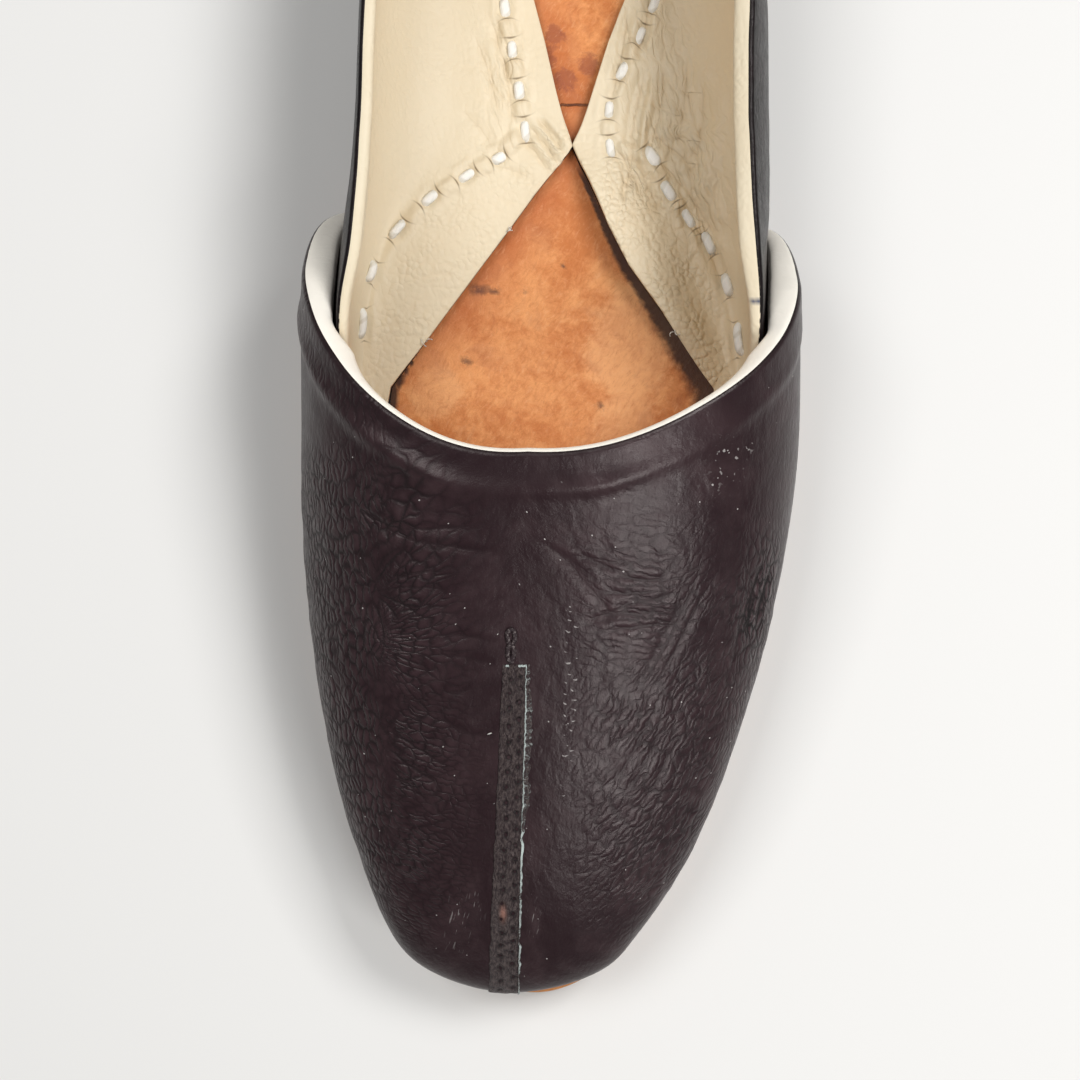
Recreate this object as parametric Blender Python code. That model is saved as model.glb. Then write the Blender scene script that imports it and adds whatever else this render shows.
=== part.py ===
"""A hand-made leather jutti for the left foot, as an assembly of its leather pieces.

Pieces: outsole, insole, vamp, quarter and toe_seam_strip.
Frame: metres, +Z up, toe towards -Y, outer side of the foot towards +X. The origin lies on the
floor under the middle of the shoe.

The tables give places as shares of the shoe's length, counted from the tip of the sole, and of the
ball width, counted from the middle of the ball. "medial" is the big toe's side, where shares are
negative, and "lateral" is the little toe's side.
"""

import bmesh
import bpy
import numpy as np

# Driving sizes
SHOE_LENGTH = 0.2860
BALL_WIDTH = 0.1040
INSTEP_HEIGHT = 0.0590
SIDE_HEIGHT = 0.0470
HEEL_HEIGHT = 0.0610
TOE_SPRING = 0.0040
ARCH_LIFT = 0.0025

# Leather thicknesses and fits
OUTSOLE_THICKNESS = 0.0040
INSOLE_THICKNESS = 0.0025
VAMP_WALL = 0.0026
QUARTER_WALL = 0.0022
STRIP_THICKNESS = 0.0010
FIT_GAP = 0.0003
EDGE_ROUND = 0.0007
INSOLE_INSET = 0.0008

# Where the sole leaves the floor, as shares of the length
SPRING_ENDS = 0.20
ARCH_STARTS, ARCH_ENDS = 0.49, 0.78

# Outline of the sole, from its tip to the back of the heel
SOLE_COLUMNS = ("along", "medial", "lateral")
SOLE_STATIONS = (
    (0.000, -0.030, -0.030),
    (0.010, -0.148, 0.070),
    (0.030, -0.232, 0.138),
    (0.065, -0.298, 0.203),
    (0.120, -0.354, 0.273),
    (0.190, -0.404, 0.343),
    (0.270, -0.448, 0.406),
    (0.360, -0.467, 0.448),
    (0.440, -0.468, 0.467),
    (0.505, -0.452, 0.455),
    (0.550, -0.423, 0.418),
    (0.580, -0.394, 0.388),
    (0.605, -0.352, 0.352),
    (0.630, -0.290, 0.312),
    (0.657, -0.245, 0.282),
    (0.690, -0.225, 0.270),
    (0.720, -0.220, 0.277),
    (0.760, -0.228, 0.300),
    (0.805, -0.248, 0.322),
    (0.862, -0.272, 0.330),
    (0.920, -0.250, 0.308),
    (0.965, -0.158, 0.216),
    (0.983, 0.029, 0.029),
)

# The vamp: its widest outline, how far its foot is turned in under that, and the height of the
# widest point as a share of the instep height
VAMP_COLUMNS = ("along", "medial", "lateral", "undercut", "widest")
VAMP_STATIONS = (
    (0.008, -0.077, -0.077, 0.034, 0.30),
    (0.022, -0.231, 0.094, 0.037, 0.30),
    (0.050, -0.315, 0.175, 0.043, 0.31),
    (0.100, -0.374, 0.265, 0.053, 0.33),
    (0.170, -0.431, 0.349, 0.060, 0.36),
    (0.260, -0.474, 0.429, 0.063, 0.38),
    (0.350, -0.498, 0.482, 0.063, 0.39),
    (0.440, -0.496, 0.500, 0.060, 0.44),
    (0.525, -0.487, 0.493, 0.058, 0.54),
    (0.580, -0.475, 0.480, 0.081, 0.56),
    (0.625, -0.455, 0.460, 0.152, 0.56),
)
# The vamp's middle line: its place across, and its height as a share of the instep height
SPINE_COLUMNS = ("along", "across", "height")
SPINE_STATIONS = (
    (0.000, -0.077, 0.44),
    (0.120, -0.076, 0.61),
    (0.260, -0.073, 0.80),
    (0.404, -0.040, 1.00),
    (0.525, -0.005, 1.15),
    (0.640, 0.010, 1.25),
)
# The throat: where the vamp ends, from its foot (-1) over its widest point (0) to its middle (1)
THROAT_COLUMNS = ("up", "medial", "lateral")
THROAT_STATIONS = (
    (-1.00, 0.600, 0.588),
    (-0.50, 0.588, 0.577),
    (0.00, 0.545, 0.535),
    (0.15, 0.522, 0.513),
    (0.35, 0.482, 0.478),
    (0.60, 0.436, 0.438),
    (1.00, 0.396, 0.396),
)
TOE_FAN = 0.125  # the toe's sections fan out from this place on the middle line
FAN_POWER = 2.5
ROUND_ACROSS = 0.87  # below 1 the dome is fuller than an ellipse
TURNED_EDGE = 0.029  # width of the folded edge at the throat, as a share of the length
TURNED_EDGE_LIFT = 0.0005
LASTING_MARGIN = 0.0080  # the vamp's foot, turned in on the insole
MARGIN_STARTS, MARGIN_ENDS = 0.33, 0.38

# The quarter: collar, widest line, sole seam and the cut edge of the flap on the insole
QUARTER_COLUMNS = (
    "along", "top_medial", "top_lateral", "top_height", "wide_medial", "wide_lateral",
    "wide_height", "seam_medial", "seam_lateral", "edge_medial", "edge_lateral",
)
QUARTER_STATIONS = (
    (0.415, -0.409, 0.405, 0.40, -0.425, 0.428, 0.27, -0.383, 0.388, -0.346, 0.350),
    (0.460, -0.416, 0.411, 0.74, -0.430, 0.432, 0.30, -0.391, 0.393, -0.328, 0.343),
    (0.505, -0.411, 0.411, 0.93, -0.430, 0.434, 0.37, -0.384, 0.380, -0.236, 0.252),
    (0.550, -0.390, 0.403, 0.99, -0.419, 0.434, 0.48, -0.358, 0.348, -0.143, 0.163),
    (0.580, -0.381, 0.397, 1.00, -0.407, 0.438, 0.54, -0.327, 0.318, -0.080, 0.120),
    (0.605, -0.375, 0.394, 1.00, -0.396, 0.438, 0.57, -0.279, 0.285, -0.029, 0.089),
    (0.624, -0.372, 0.392, 1.00, -0.390, 0.437, 0.58, -0.235, 0.258, 0.011, 0.067),
    (0.640, -0.369, 0.390, 1.00, -0.387, 0.437, 0.58, -0.203, 0.238, 0.043, 0.052),
    (0.657, -0.367, 0.390, 1.00, -0.384, 0.436, 0.58, -0.183, 0.224, 0.031, 0.069),
    (0.685, -0.365, 0.390, 1.00, -0.381, 0.436, 0.57, -0.166, 0.214, 0.012, 0.093),
    (0.720, -0.360, 0.392, 1.01, -0.378, 0.435, 0.56, -0.160, 0.222, -0.009, 0.123),
    (0.760, -0.352, 0.389, 1.04, -0.371, 0.427, 0.55, -0.170, 0.244, -0.037, 0.165),
)
# Each of those lines round the heel: how far it reaches back from the last station, how much its
# half width swells on the way, and where its middle lies at the back
HEEL_COLUMNS = ("reach", "swell", "middle")
HEEL_LINES = {
    "top": (0.216, 0.00, 0.025),
    "wide": (0.235, 0.00, 0.025),
    "seam": (0.212, 0.21, 0.027),
    "edge": (0.186, 0.20, 0.027),
}

# The strip sewn over the toe seam
STRIP_WIDTH_TOP, STRIP_WIDTH_TOE = 0.0046, 0.0064
STRIP_MIDDLE_TOP, STRIP_MIDDLE_TOE = -0.069, -0.097
STRIP_STARTS = 0.258
STRIP_FOOT = 0.0105

# Fineness of the facets
SOLE_STEPS = 3
VAMP_COLUMNS_PER_SIDE = 17
VAMP_LOWER_ROWS, VAMP_UPPER_ROWS = 5, 9
QUARTER_STEPS = 2
HEEL_STEPS = 22
QUARTER_UPPER_ROWS, QUARTER_LOWER_ROWS, QUARTER_FLAP_ROWS = 4, 6, 2

# Colours as linear red, green and blue, and roughness
FINISHES = {
    "outsole": ((0.42, 0.17, 0.06), 0.65),
    "insole": ((0.47, 0.16, 0.05), 0.70),
    "vamp": ((0.034, 0.024, 0.025), 0.45),
    "quarter": ((0.72, 0.62, 0.43), 0.55),
    "toe_seam_strip": ((0.026, 0.019, 0.020), 0.60),
}


def spline(knots, values, at):
    """Natural cubic spline through (knots, values), read at every place of at."""
    knots, values, at = (np.asarray(a, float) for a in (knots, values, at))
    step = np.diff(knots)
    slope = np.diff(values) / step
    system = np.eye(len(knots))
    inner = np.arange(1, len(knots) - 1)
    system[inner, inner - 1] = step[:-1]
    system[inner, inner] = 2 * (step[:-1] + step[1:])
    system[inner, inner + 1] = step[1:]
    bend = np.linalg.solve(system, np.concatenate(([0.0], 6 * np.diff(slope), [0.0])))
    cell = np.clip(np.searchsorted(knots, at, side="right") - 1, 0, len(step) - 1)
    h = step[cell]
    before, after = knots[cell + 1] - at, at - knots[cell]
    cubic = (bend[cell] * before**3 + bend[cell + 1] * after**3) / (6 * h)
    line_start = (values[cell] / h - bend[cell] * h / 6) * before
    line_end = (values[cell + 1] / h - bend[cell + 1] * h / 6) * after
    return cubic + line_start + line_end


def steady(knots, values, at):
    """Cubic through (knots, values) that never swings past them."""
    knots, values, at = (np.asarray(a, float) for a in (knots, values, at))
    step = np.diff(knots)
    slope = np.diff(values) / step
    tangent = np.concatenate((slope[:1], np.zeros(len(slope) - 1), slope[-1:]))
    same_way = slope[:-1] * slope[1:] > 0
    mean = 2 * slope[:-1] * slope[1:] / np.where(same_way, slope[:-1] + slope[1:], 1)
    tangent[1:-1] = np.where(same_way, mean, 0)
    cell = np.clip(np.searchsorted(knots, at, side="right") - 1, 0, len(step) - 1)
    h = step[cell]
    f = (at - knots[cell]) / h
    start = values[cell] * (1 + 2 * f) * (1 - f) ** 2 + tangent[cell] * h * f * (1 - f) ** 2
    end = values[cell + 1] * f**2 * (3 - 2 * f) + tangent[cell + 1] * h * f**2 * (f - 1)
    return start + end


def columns(names, rows):
    """A table as a dictionary of its columns."""
    return dict(zip(names, np.array(rows, float).T))


def to_frame(across, along, height):
    """Points in the shoe's frame from shares across and along, and heights in metres."""
    middle = (SOLE_STATIONS[0][0] + QUARTER_STATIONS[-1][0] + HEEL_LINES["wide"][0]) / 2
    return np.stack(
        np.broadcast_arrays(across * BALL_WIDTH, (along - middle) * SHOE_LENGTH, height), axis=-1
    )


def floor_height(along):
    """Height of the sole's underside: toe spring, flat forefoot, arch and flat heel."""
    spring = np.clip(1 - along / SPRING_ENDS, 0, None) ** 2
    in_arch = np.clip((along - ARCH_STARTS) / (ARCH_ENDS - ARCH_STARTS), 0, 1)
    return TOE_SPRING * spring + ARCH_LIFT * np.sin(np.pi * in_arch) ** 2


def insole_underside(along):
    return floor_height(along) + OUTSOLE_THICKNESS + FIT_GAP


def upper_seat(along):
    """Height at which the leather of the upper lies on the insole."""
    return insole_underside(along) + INSOLE_THICKNESS + FIT_GAP


def both_sides(table, medial, lateral):
    """A column that runs from the medial rear round the toe to the lateral rear."""
    return np.concatenate((table[medial][:0:-1], table[lateral]))


def turned(across, along, distance):
    """Shares moved to the left of their path by a distance in metres, per point."""
    dx = np.gradient(across, axis=0) * BALL_WIDTH
    dy = np.gradient(along, axis=0) * SHOE_LENGTH
    length = np.hypot(dx, dy)
    return across - distance * dy / length / BALL_WIDTH, along + distance * dx / length / SHOE_LENGTH


def sole_outline(inset):
    """The sole's outline as shares: medial from heel to toe, then lateral back to the heel."""
    table = columns(SOLE_COLUMNS, SOLE_STATIONS)
    loop_x = both_sides(table, "medial", "lateral")[:-1]
    loop_y = both_sides(table, "along", "along")[:-1]
    wrap = 4
    places = np.arange(-wrap, len(loop_x) + wrap)
    at = np.arange(len(loop_x) * SOLE_STEPS) / SOLE_STEPS
    ahead = np.concatenate((at[-1:] - len(loop_x), at, at[-1:] + 1 / SOLE_STEPS))
    x = spline(places, np.take(loop_x, places, mode="wrap"), ahead)
    y = spline(places, np.take(loop_y, places, mode="wrap"), ahead)
    x, y = turned(x, y, inset)
    return x[1:-1], y[1:-1]


def vamp_lines(around):
    """The vamp's widest outline, its foot line and the heights there, at places around the toe.

    Places count the stations: 0 at the tip of the toe, negative on the medial side.
    """
    table = columns(VAMP_COLUMNS, VAMP_STATIONS)
    last = len(VAMP_STATIONS) - 1
    places = np.arange(-last, last + 1)

    def read(medial, lateral, at):
        return spline(places, both_sides(table, medial, lateral), at)

    nudge = 1e-3
    x, y = (read(*pair, around) for pair in (("medial", "lateral"), ("along", "along")))
    dx = read("medial", "lateral", around + nudge) - read("medial", "lateral", around - nudge)
    dy = read("along", "along", around + nudge) - read("along", "along", around - nudge)
    dx, dy = dx * BALL_WIDTH, dy * SHOE_LENGTH
    inward = np.stack((-dy, dx), axis=-1) / np.hypot(dx, dy)[..., None]
    undercut = read("undercut", "undercut", around) * BALL_WIDTH
    widest = read("widest", "widest", around) * INSTEP_HEIGHT
    return x, y, inward, undercut, widest


def vamp_surface(around, up, lift=0.0):
    """Points of the vamp's outside, or of a form larger than it by lift.

    up runs from the cut edge of the lasting margin (-2) over the foot (-1) and the widest outline
    (0) to the middle line (1). Below the widest outline the wall is a quarter ellipse that lands
    flat on the insole. Above it each section is a quarter of a full ellipse whose height is that
    of the middle line, so that both sides meet level there.
    """
    x, y, inward, undercut, widest = vamp_lines(around)
    fan_y = (y.clip(0) ** FAN_POWER + TOE_FAN**FAN_POWER) ** (1 / FAN_POWER)
    spine = columns(SPINE_COLUMNS, SPINE_STATIONS)
    fan_x = spline(spine["along"], spine["across"], fan_y)
    x = x - lift * inward[..., 0] / BALL_WIDTH
    y = y - lift * inward[..., 1] / SHOE_LENGTH
    angle = np.clip(up, 0, 1) * np.pi / 2
    reach = np.cos(angle).clip(0) ** ROUND_ACROSS
    upper_x = fan_x + (x - fan_x) * reach
    upper_y = fan_y + (y - fan_y) * reach
    crown = spline(spine["along"], spine["height"], upper_y) * INSTEP_HEIGHT + lift
    upper_z = widest + (crown - widest) * np.sin(angle)

    margin_share = np.clip((MARGIN_ENDS - y) / (MARGIN_ENDS - MARGIN_STARTS), 0, 1)
    margin = FIT_GAP + LASTING_MARGIN * margin_share
    turn = np.clip(-up, 0, 1) * np.pi / 2
    travel = undercut * (1 - np.cos(turn)) + margin * np.clip(-1 - up, 0, 1)
    lower_x = x + inward[..., 0] * travel / BALL_WIDTH
    lower_y = y + inward[..., 1] * travel / SHOE_LENGTH
    foot_y = y + inward[..., 1] * undercut / SHOE_LENGTH
    foot_z = upper_seat(np.where(up < -1, lower_y, foot_y))
    lower_z = widest - (widest - foot_z) * np.sin(turn)

    below = up < 0
    return to_frame(
        np.where(below, lower_x, upper_x),
        np.where(below, lower_y, upper_y),
        np.where(below, lower_z, upper_z),
    )


def vamp_grid(lift=0.0):
    """Places around and up for the vamp's facets, with the folded edge at the throat raised."""
    up = np.concatenate((
        [-2.0],
        np.linspace(-1, 0, VAMP_LOWER_ROWS, endpoint=False),
        np.linspace(0, 1, VAMP_UPPER_ROWS),
    ))
    throat = columns(THROAT_COLUMNS, THROAT_STATIONS)

    def mirrored(values):
        return np.concatenate((values, values[-2:-5:-1]))

    throat_up = np.concatenate((throat["up"], 2 - throat["up"][-2:-5:-1]))
    station_along = columns(VAMP_COLUMNS, VAMP_STATIONS)["along"]
    count = np.arange(len(station_along))
    fine = np.linspace(0, count[-1], 400)
    fine_along = spline(np.arange(-count[-1], count[-1] + 1),
                        np.concatenate((station_along[:0:-1], station_along)), fine)
    halves = []
    for side, sign in (("medial", -1), ("lateral", 1)):
        rim = spline(throat_up, mirrored(throat[side]), np.clip(up, -1, 1))
        fold, rim = (np.interp(end, fine_along, fine) for end in (rim - TURNED_EDGE, rim))
        ends = np.linspace(0, 1, VAMP_COLUMNS_PER_SIDE)[:, None] * fold
        ends = np.concatenate((ends, [fold + 0.1 * (rim - fold), 0.5 * (fold + rim), rim]))
        halves.append(sign * ends)
    around = np.concatenate((halves[0][:0:-1], halves[1]))
    folded = np.zeros(len(halves[1]))
    folded[VAMP_COLUMNS_PER_SIDE:] = TURNED_EDGE_LIFT
    raised = np.concatenate((folded[:0:-1], folded))[:, None]
    return vamp_surface(around, np.broadcast_to(up, around.shape), lift + raised)


def quarter_lines():
    """Collar, widest line, sole seam and flap edge, from the medial front round the heel."""
    table = columns(QUARTER_COLUMNS, QUARTER_STATIONS)
    knots = table["along"]
    count = np.arange(len(knots))
    side = np.interp(np.arange(QUARTER_STEPS * count[-1] + 1) / QUARTER_STEPS, count, knots)
    back = np.linspace(0, np.pi, HEEL_STEPS + 1)[1:-1]
    lines = {}
    for line, (reach, swell, back_middle) in HEEL_LINES.items():
        sides = (table[f"{line}_medial"], table[f"{line}_lateral"])
        if line == "edge":
            medial, lateral = (np.interp(side, knots, values) for values in sides)
        else:
            medial, lateral = (steady(knots, values, side) for values in sides)
        middle, half = (medial[-1] + lateral[-1]) / 2, (lateral[-1] - medial[-1]) / 2
        middle = middle + (back_middle - middle) * np.sin(back)
        half = half + swell * np.sin(back)
        x = np.concatenate((medial, middle - half * np.cos(back), lateral[::-1]))
        y = np.concatenate((side, knots[-1] + reach * np.sin(back), side[::-1]))
        lines[line] = np.stack((x, y), axis=-1)
    last_top = table["top_height"][-1] * SIDE_HEIGHT
    rise = (HEEL_HEIGHT - last_top) * np.sin(back) ** 2
    top = steady(knots, table["top_height"], side) * SIDE_HEIGHT
    wide = steady(knots, table["wide_height"], side) * SIDE_HEIGHT
    heights = {
        "top": np.concatenate((top, last_top + rise, top[::-1])),
        "wide": np.concatenate((wide, np.full(len(back), wide[-1]), wide[::-1])),
    }
    return lines, heights


def quarter_grid():
    """Rows of the quarter's outside, from the collar down the wall and in over the insole."""
    lines, heights = quarter_lines()
    seam_z = upper_seat(lines["seam"][:, 1])
    rows = []
    for fall in np.linspace(0, 1, QUARTER_UPPER_ROWS, endpoint=False):
        plan = lines["wide"] + (lines["top"] - lines["wide"]) * (1 - fall) ** 2
        height = heights["top"] + (heights["wide"] - heights["top"]) * fall
        rows.append(to_frame(plan[:, 0], plan[:, 1], height))
    for turn in np.linspace(0, np.pi / 2, QUARTER_LOWER_ROWS, endpoint=False):
        plan = lines["seam"] + (lines["wide"] - lines["seam"]) * np.cos(turn)
        height = heights["wide"] + (seam_z - heights["wide"]) * np.sin(turn)
        rows.append(to_frame(plan[:, 0], plan[:, 1], height))
    for share in np.linspace(0, 1, QUARTER_FLAP_ROWS + 1):
        plan = lines["seam"] + (lines["edge"] - lines["seam"]) * share
        rows.append(to_frame(plan[:, 0], plan[:, 1], upper_seat(plan[:, 1])))
    return np.stack(rows, axis=1)


def finished(name, mesh):
    """A new object for a mesh, with its own leather material."""
    colour, roughness = FINISHES[name]
    leather = bpy.data.materials.new(name + "_leather")
    leather.use_nodes = True
    shader = leather.node_tree.nodes["Principled BSDF"]
    shader.inputs["Base Color"].default_value = (*colour, 1)
    shader.inputs["Roughness"].default_value = roughness
    shader.inputs["Metallic"].default_value = 0
    mesh.materials.append(leather)
    mesh.shade_smooth()
    mesh.set_sharp_from_angle(angle=np.radians(40))
    made = bpy.data.objects.new(name, mesh)
    bpy.context.scene.collection.objects.link(made)
    return made


def sheet_mesh(name, grid, facing):
    """A sheet of quads over a grid of points, with doubled points joined.

    facing is (column, row, direction): the normal there points along the direction.
    """
    wide, high = grid.shape[:2]
    index = np.arange(wide * high).reshape(wide, high)
    corners = (index[:-1, :-1], index[1:, :-1], index[1:, 1:], index[:-1, 1:])
    faces = np.stack(corners, axis=-1).reshape(-1, 4)
    column, row, direction = facing
    diagonal_a = grid[column + 1, row + 1] - grid[column, row]
    diagonal_b = grid[column, row + 1] - grid[column + 1, row]
    if np.dot(np.cross(diagonal_a, diagonal_b), direction) < 0:
        faces = faces[:, ::-1]
    mesh = bpy.data.meshes.new(name)
    mesh.from_pydata(grid.reshape(-1, 3).tolist(), [], faces.tolist())
    shape = bmesh.new()
    shape.from_mesh(mesh)
    bmesh.ops.remove_doubles(shape, verts=shape.verts, dist=1e-6)
    shape.to_mesh(mesh)
    shape.free()
    return mesh


def add_wall(made, thickness, outwards=False):
    """Gives a sheet its thickness, inwards from its outside unless told otherwise."""
    wall = made.modifiers.new("wall", "SOLIDIFY")
    wall.thickness = thickness
    wall.offset = 1 if outwards else -1
    wall.use_even_offset = True
    wall.use_quality_normals = True


def make_sole_layer(name, inset, underside, thickness):
    """A leather layer with the sole's outline: rounded edges above and below a plain side."""
    edge_x, edge_y = sole_outline(inset)
    face_x, face_y = sole_outline(inset + EDGE_ROUND)
    loops = (
        to_frame(face_x, face_y, underside(face_y)),
        to_frame(edge_x, edge_y, underside(edge_y) + EDGE_ROUND),
        to_frame(edge_x, edge_y, underside(edge_y) + thickness - EDGE_ROUND),
        to_frame(face_x, face_y, underside(face_y) + thickness),
    )
    count = len(edge_x)
    ring = np.arange(count)
    following = np.roll(ring, -1)
    faces = []
    for level in range(len(loops) - 1):
        low, high = level * count, (level + 1) * count
        faces += np.stack((low + ring, high + ring, high + following, low + following), -1).tolist()
    medial = np.arange(count // 2)
    lateral = (count - medial) % count
    for base, upwards in ((0, False), ((len(loops) - 1) * count, True)):
        for k in medial:
            face = [medial[k], medial[k] + 1, lateral[k] - 1, lateral[k]]
            face = [base + int(corner) % count for corner in face]
            face = list(dict.fromkeys(face))
            faces.append(face if upwards else face[::-1])
    mesh = bpy.data.meshes.new(name)
    mesh.from_pydata(np.concatenate(loops).tolist(), [], faces)
    shape = bmesh.new()
    shape.from_mesh(mesh)
    bmesh.ops.recalc_face_normals(shape, faces=shape.faces)
    shape.to_mesh(mesh)
    shape.free()
    return finished(name, mesh)


def make_vamp():
    grid = vamp_grid()
    crown = (grid.shape[0] // 4, grid.shape[1] - 3, (0, 0, 1))
    vamp = finished("vamp", sheet_mesh("vamp", grid, crown))
    add_wall(vamp, VAMP_WALL)


def make_quarter():
    grid = quarter_grid()
    heel_wall = (grid.shape[0] // 2, 2, (0, 1, 0))
    quarter = finished("quarter", sheet_mesh("quarter", grid, heel_wall))
    add_wall(quarter, QUARTER_WALL)


def make_strip_blade():
    """The slab that trims the strip: it leans towards the big toe and is wider at the toe."""
    along = np.linspace(-0.03, STRIP_STARTS, 9)
    toe_share = np.clip(1 - along / STRIP_STARTS, 0, 1)
    centre = STRIP_MIDDLE_TOP + (STRIP_MIDDLE_TOE - STRIP_MIDDLE_TOP) * toe_share
    half = (STRIP_WIDTH_TOP + (STRIP_WIDTH_TOE - STRIP_WIDTH_TOP) * toe_share) / 2 / BALL_WIDTH
    levels = (STRIP_FOOT, 2 * INSTEP_HEIGHT)
    grid = np.stack([
        np.stack([to_frame(centre + side * half, along, level) for side in (-1, 1)], axis=1)
        for level in levels
    ], axis=1)
    mesh = bpy.data.meshes.new("strip_blade")
    shape = bmesh.new()
    rings = []
    for section in grid:
        corners = (section[0, 0], section[0, 1], section[1, 1], section[1, 0])
        rings.append([shape.verts.new(corner) for corner in corners])
    for ring, following in zip(rings, rings[1:]):
        for k in range(4):
            shape.faces.new((ring[k], ring[(k + 1) % 4], following[(k + 1) % 4], following[k]))
    shape.faces.new(rings[0][::-1])
    shape.faces.new(rings[-1])
    bmesh.ops.recalc_face_normals(shape, faces=shape.faces)
    shape.to_mesh(mesh)
    shape.free()
    blade = bpy.data.objects.new("strip_blade", mesh)
    bpy.context.scene.collection.objects.link(blade)
    blade.hide_render = True
    blade.display_type = "WIRE"
    return blade


def make_toe_seam_strip():
    """The strip over the toe seam, cut from between two forms larger than the vamp."""
    grid = vamp_grid(lift=FIT_GAP)
    crown = (grid.shape[0] // 4, grid.shape[1] - 3, (0, 0, 1))
    strip = finished("toe_seam_strip", sheet_mesh("toe_seam_strip", grid, crown))
    add_wall(strip, STRIP_THICKNESS, outwards=True)
    trim = strip.modifiers.new("trim", "BOOLEAN")
    trim.operation = "INTERSECT"
    trim.object = make_strip_blade()


def main():
    for old in list(bpy.data.objects):
        bpy.data.objects.remove(old)
    make_sole_layer("outsole", 0.0, floor_height, OUTSOLE_THICKNESS)
    make_sole_layer("insole", INSOLE_INSET, insole_underside, INSOLE_THICKNESS)
    make_vamp()
    make_quarter()
    make_toe_seam_strip()


main()
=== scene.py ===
"""Looks of a left-foot leather jutti: leather, linings, thread, sole, stage and camera.

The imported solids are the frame. Each one is replaced by finer leather pieces that lie in the same
place, worked out from the same sizes and station tables. Places in the tables are shares of the
shoe's length, counted from the tip of the sole, and of the ball width, counted from the middle of
the ball; the big toe's side, medial, is negative.
"""

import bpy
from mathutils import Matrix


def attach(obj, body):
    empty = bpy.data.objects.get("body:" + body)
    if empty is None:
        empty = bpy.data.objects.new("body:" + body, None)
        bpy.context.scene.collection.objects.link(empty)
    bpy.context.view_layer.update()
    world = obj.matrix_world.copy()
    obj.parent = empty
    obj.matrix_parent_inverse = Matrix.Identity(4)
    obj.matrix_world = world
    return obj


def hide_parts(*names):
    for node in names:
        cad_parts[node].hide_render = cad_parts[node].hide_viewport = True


bl_info = {
    "name": "Jutti",
    "version": (1, 0, 0),
    "blender": (4, 5, 0),
    "location": "3D View > Sidebar > Jutti",
    "description": "Builds the leather, thread and stage of a left-foot jutti",
    "category": "Add Mesh",
}

import bpy
import numpy as np
from bpy.props import FloatProperty, FloatVectorProperty, PointerProperty
from mathutils import Vector

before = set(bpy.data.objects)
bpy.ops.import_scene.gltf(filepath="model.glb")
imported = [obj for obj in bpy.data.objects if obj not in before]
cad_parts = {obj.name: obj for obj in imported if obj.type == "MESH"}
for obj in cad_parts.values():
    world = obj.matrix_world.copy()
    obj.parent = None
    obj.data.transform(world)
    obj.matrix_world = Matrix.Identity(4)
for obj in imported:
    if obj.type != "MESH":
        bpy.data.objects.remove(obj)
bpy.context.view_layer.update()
BODY = "root"

SOLE_COLUMNS = ("along", "medial", "lateral")
SOLE_STATIONS = (
    (0.000, -0.030, -0.030),
    (0.010, -0.148, 0.070),
    (0.030, -0.232, 0.138),
    (0.065, -0.298, 0.203),
    (0.120, -0.354, 0.273),
    (0.190, -0.404, 0.343),
    (0.270, -0.448, 0.406),
    (0.360, -0.467, 0.448),
    (0.440, -0.468, 0.467),
    (0.505, -0.452, 0.455),
    (0.550, -0.423, 0.418),
    (0.580, -0.394, 0.388),
    (0.605, -0.352, 0.352),
    (0.630, -0.290, 0.312),
    (0.657, -0.245, 0.282),
    (0.690, -0.225, 0.270),
    (0.720, -0.220, 0.277),
    (0.760, -0.228, 0.300),
    (0.805, -0.248, 0.322),
    (0.862, -0.272, 0.330),
    (0.920, -0.250, 0.308),
    (0.965, -0.158, 0.216),
    (0.983, 0.029, 0.029),
)
VAMP_COLUMNS = ("along", "medial", "lateral", "undercut", "widest")
VAMP_STATIONS = (
    (0.008, -0.077, -0.077, 0.034, 0.30),
    (0.022, -0.231, 0.094, 0.037, 0.30),
    (0.050, -0.315, 0.175, 0.043, 0.31),
    (0.100, -0.374, 0.265, 0.053, 0.33),
    (0.170, -0.431, 0.349, 0.060, 0.36),
    (0.260, -0.474, 0.429, 0.063, 0.38),
    (0.350, -0.498, 0.482, 0.063, 0.39),
    (0.440, -0.496, 0.500, 0.060, 0.44),
    (0.525, -0.487, 0.493, 0.058, 0.54),
    (0.580, -0.475, 0.480, 0.081, 0.56),
    (0.625, -0.455, 0.460, 0.152, 0.56),
)
SPINE_COLUMNS = ("along", "across", "height")
SPINE_STATIONS = (
    (0.000, -0.077, 0.44),
    (0.120, -0.076, 0.61),
    (0.260, -0.073, 0.80),
    (0.404, -0.040, 1.00),
    (0.525, -0.005, 1.15),
    (0.640, 0.010, 1.25),
)
THROAT_COLUMNS = ("up", "medial", "lateral")
THROAT_STATIONS = (
    (-1.00, 0.600, 0.588),
    (-0.50, 0.588, 0.577),
    (0.00, 0.545, 0.535),
    (0.15, 0.522, 0.513),
    (0.35, 0.482, 0.478),
    (0.60, 0.436, 0.438),
    (1.00, 0.396, 0.396),
)
TOE_FAN = 0.125
FAN_POWER = 2.5
ROUND_ACROSS = 0.87
MARGIN_STARTS, MARGIN_ENDS = 0.33, 0.38
SPRING_ENDS = 0.20
ARCH_STARTS, ARCH_ENDS = 0.49, 0.78
QUARTER_COLUMNS = (
    "along", "top_medial", "top_lateral", "top_height", "wide_medial", "wide_lateral",
    "wide_height", "seam_medial", "seam_lateral", "edge_medial", "edge_lateral",
)
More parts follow.
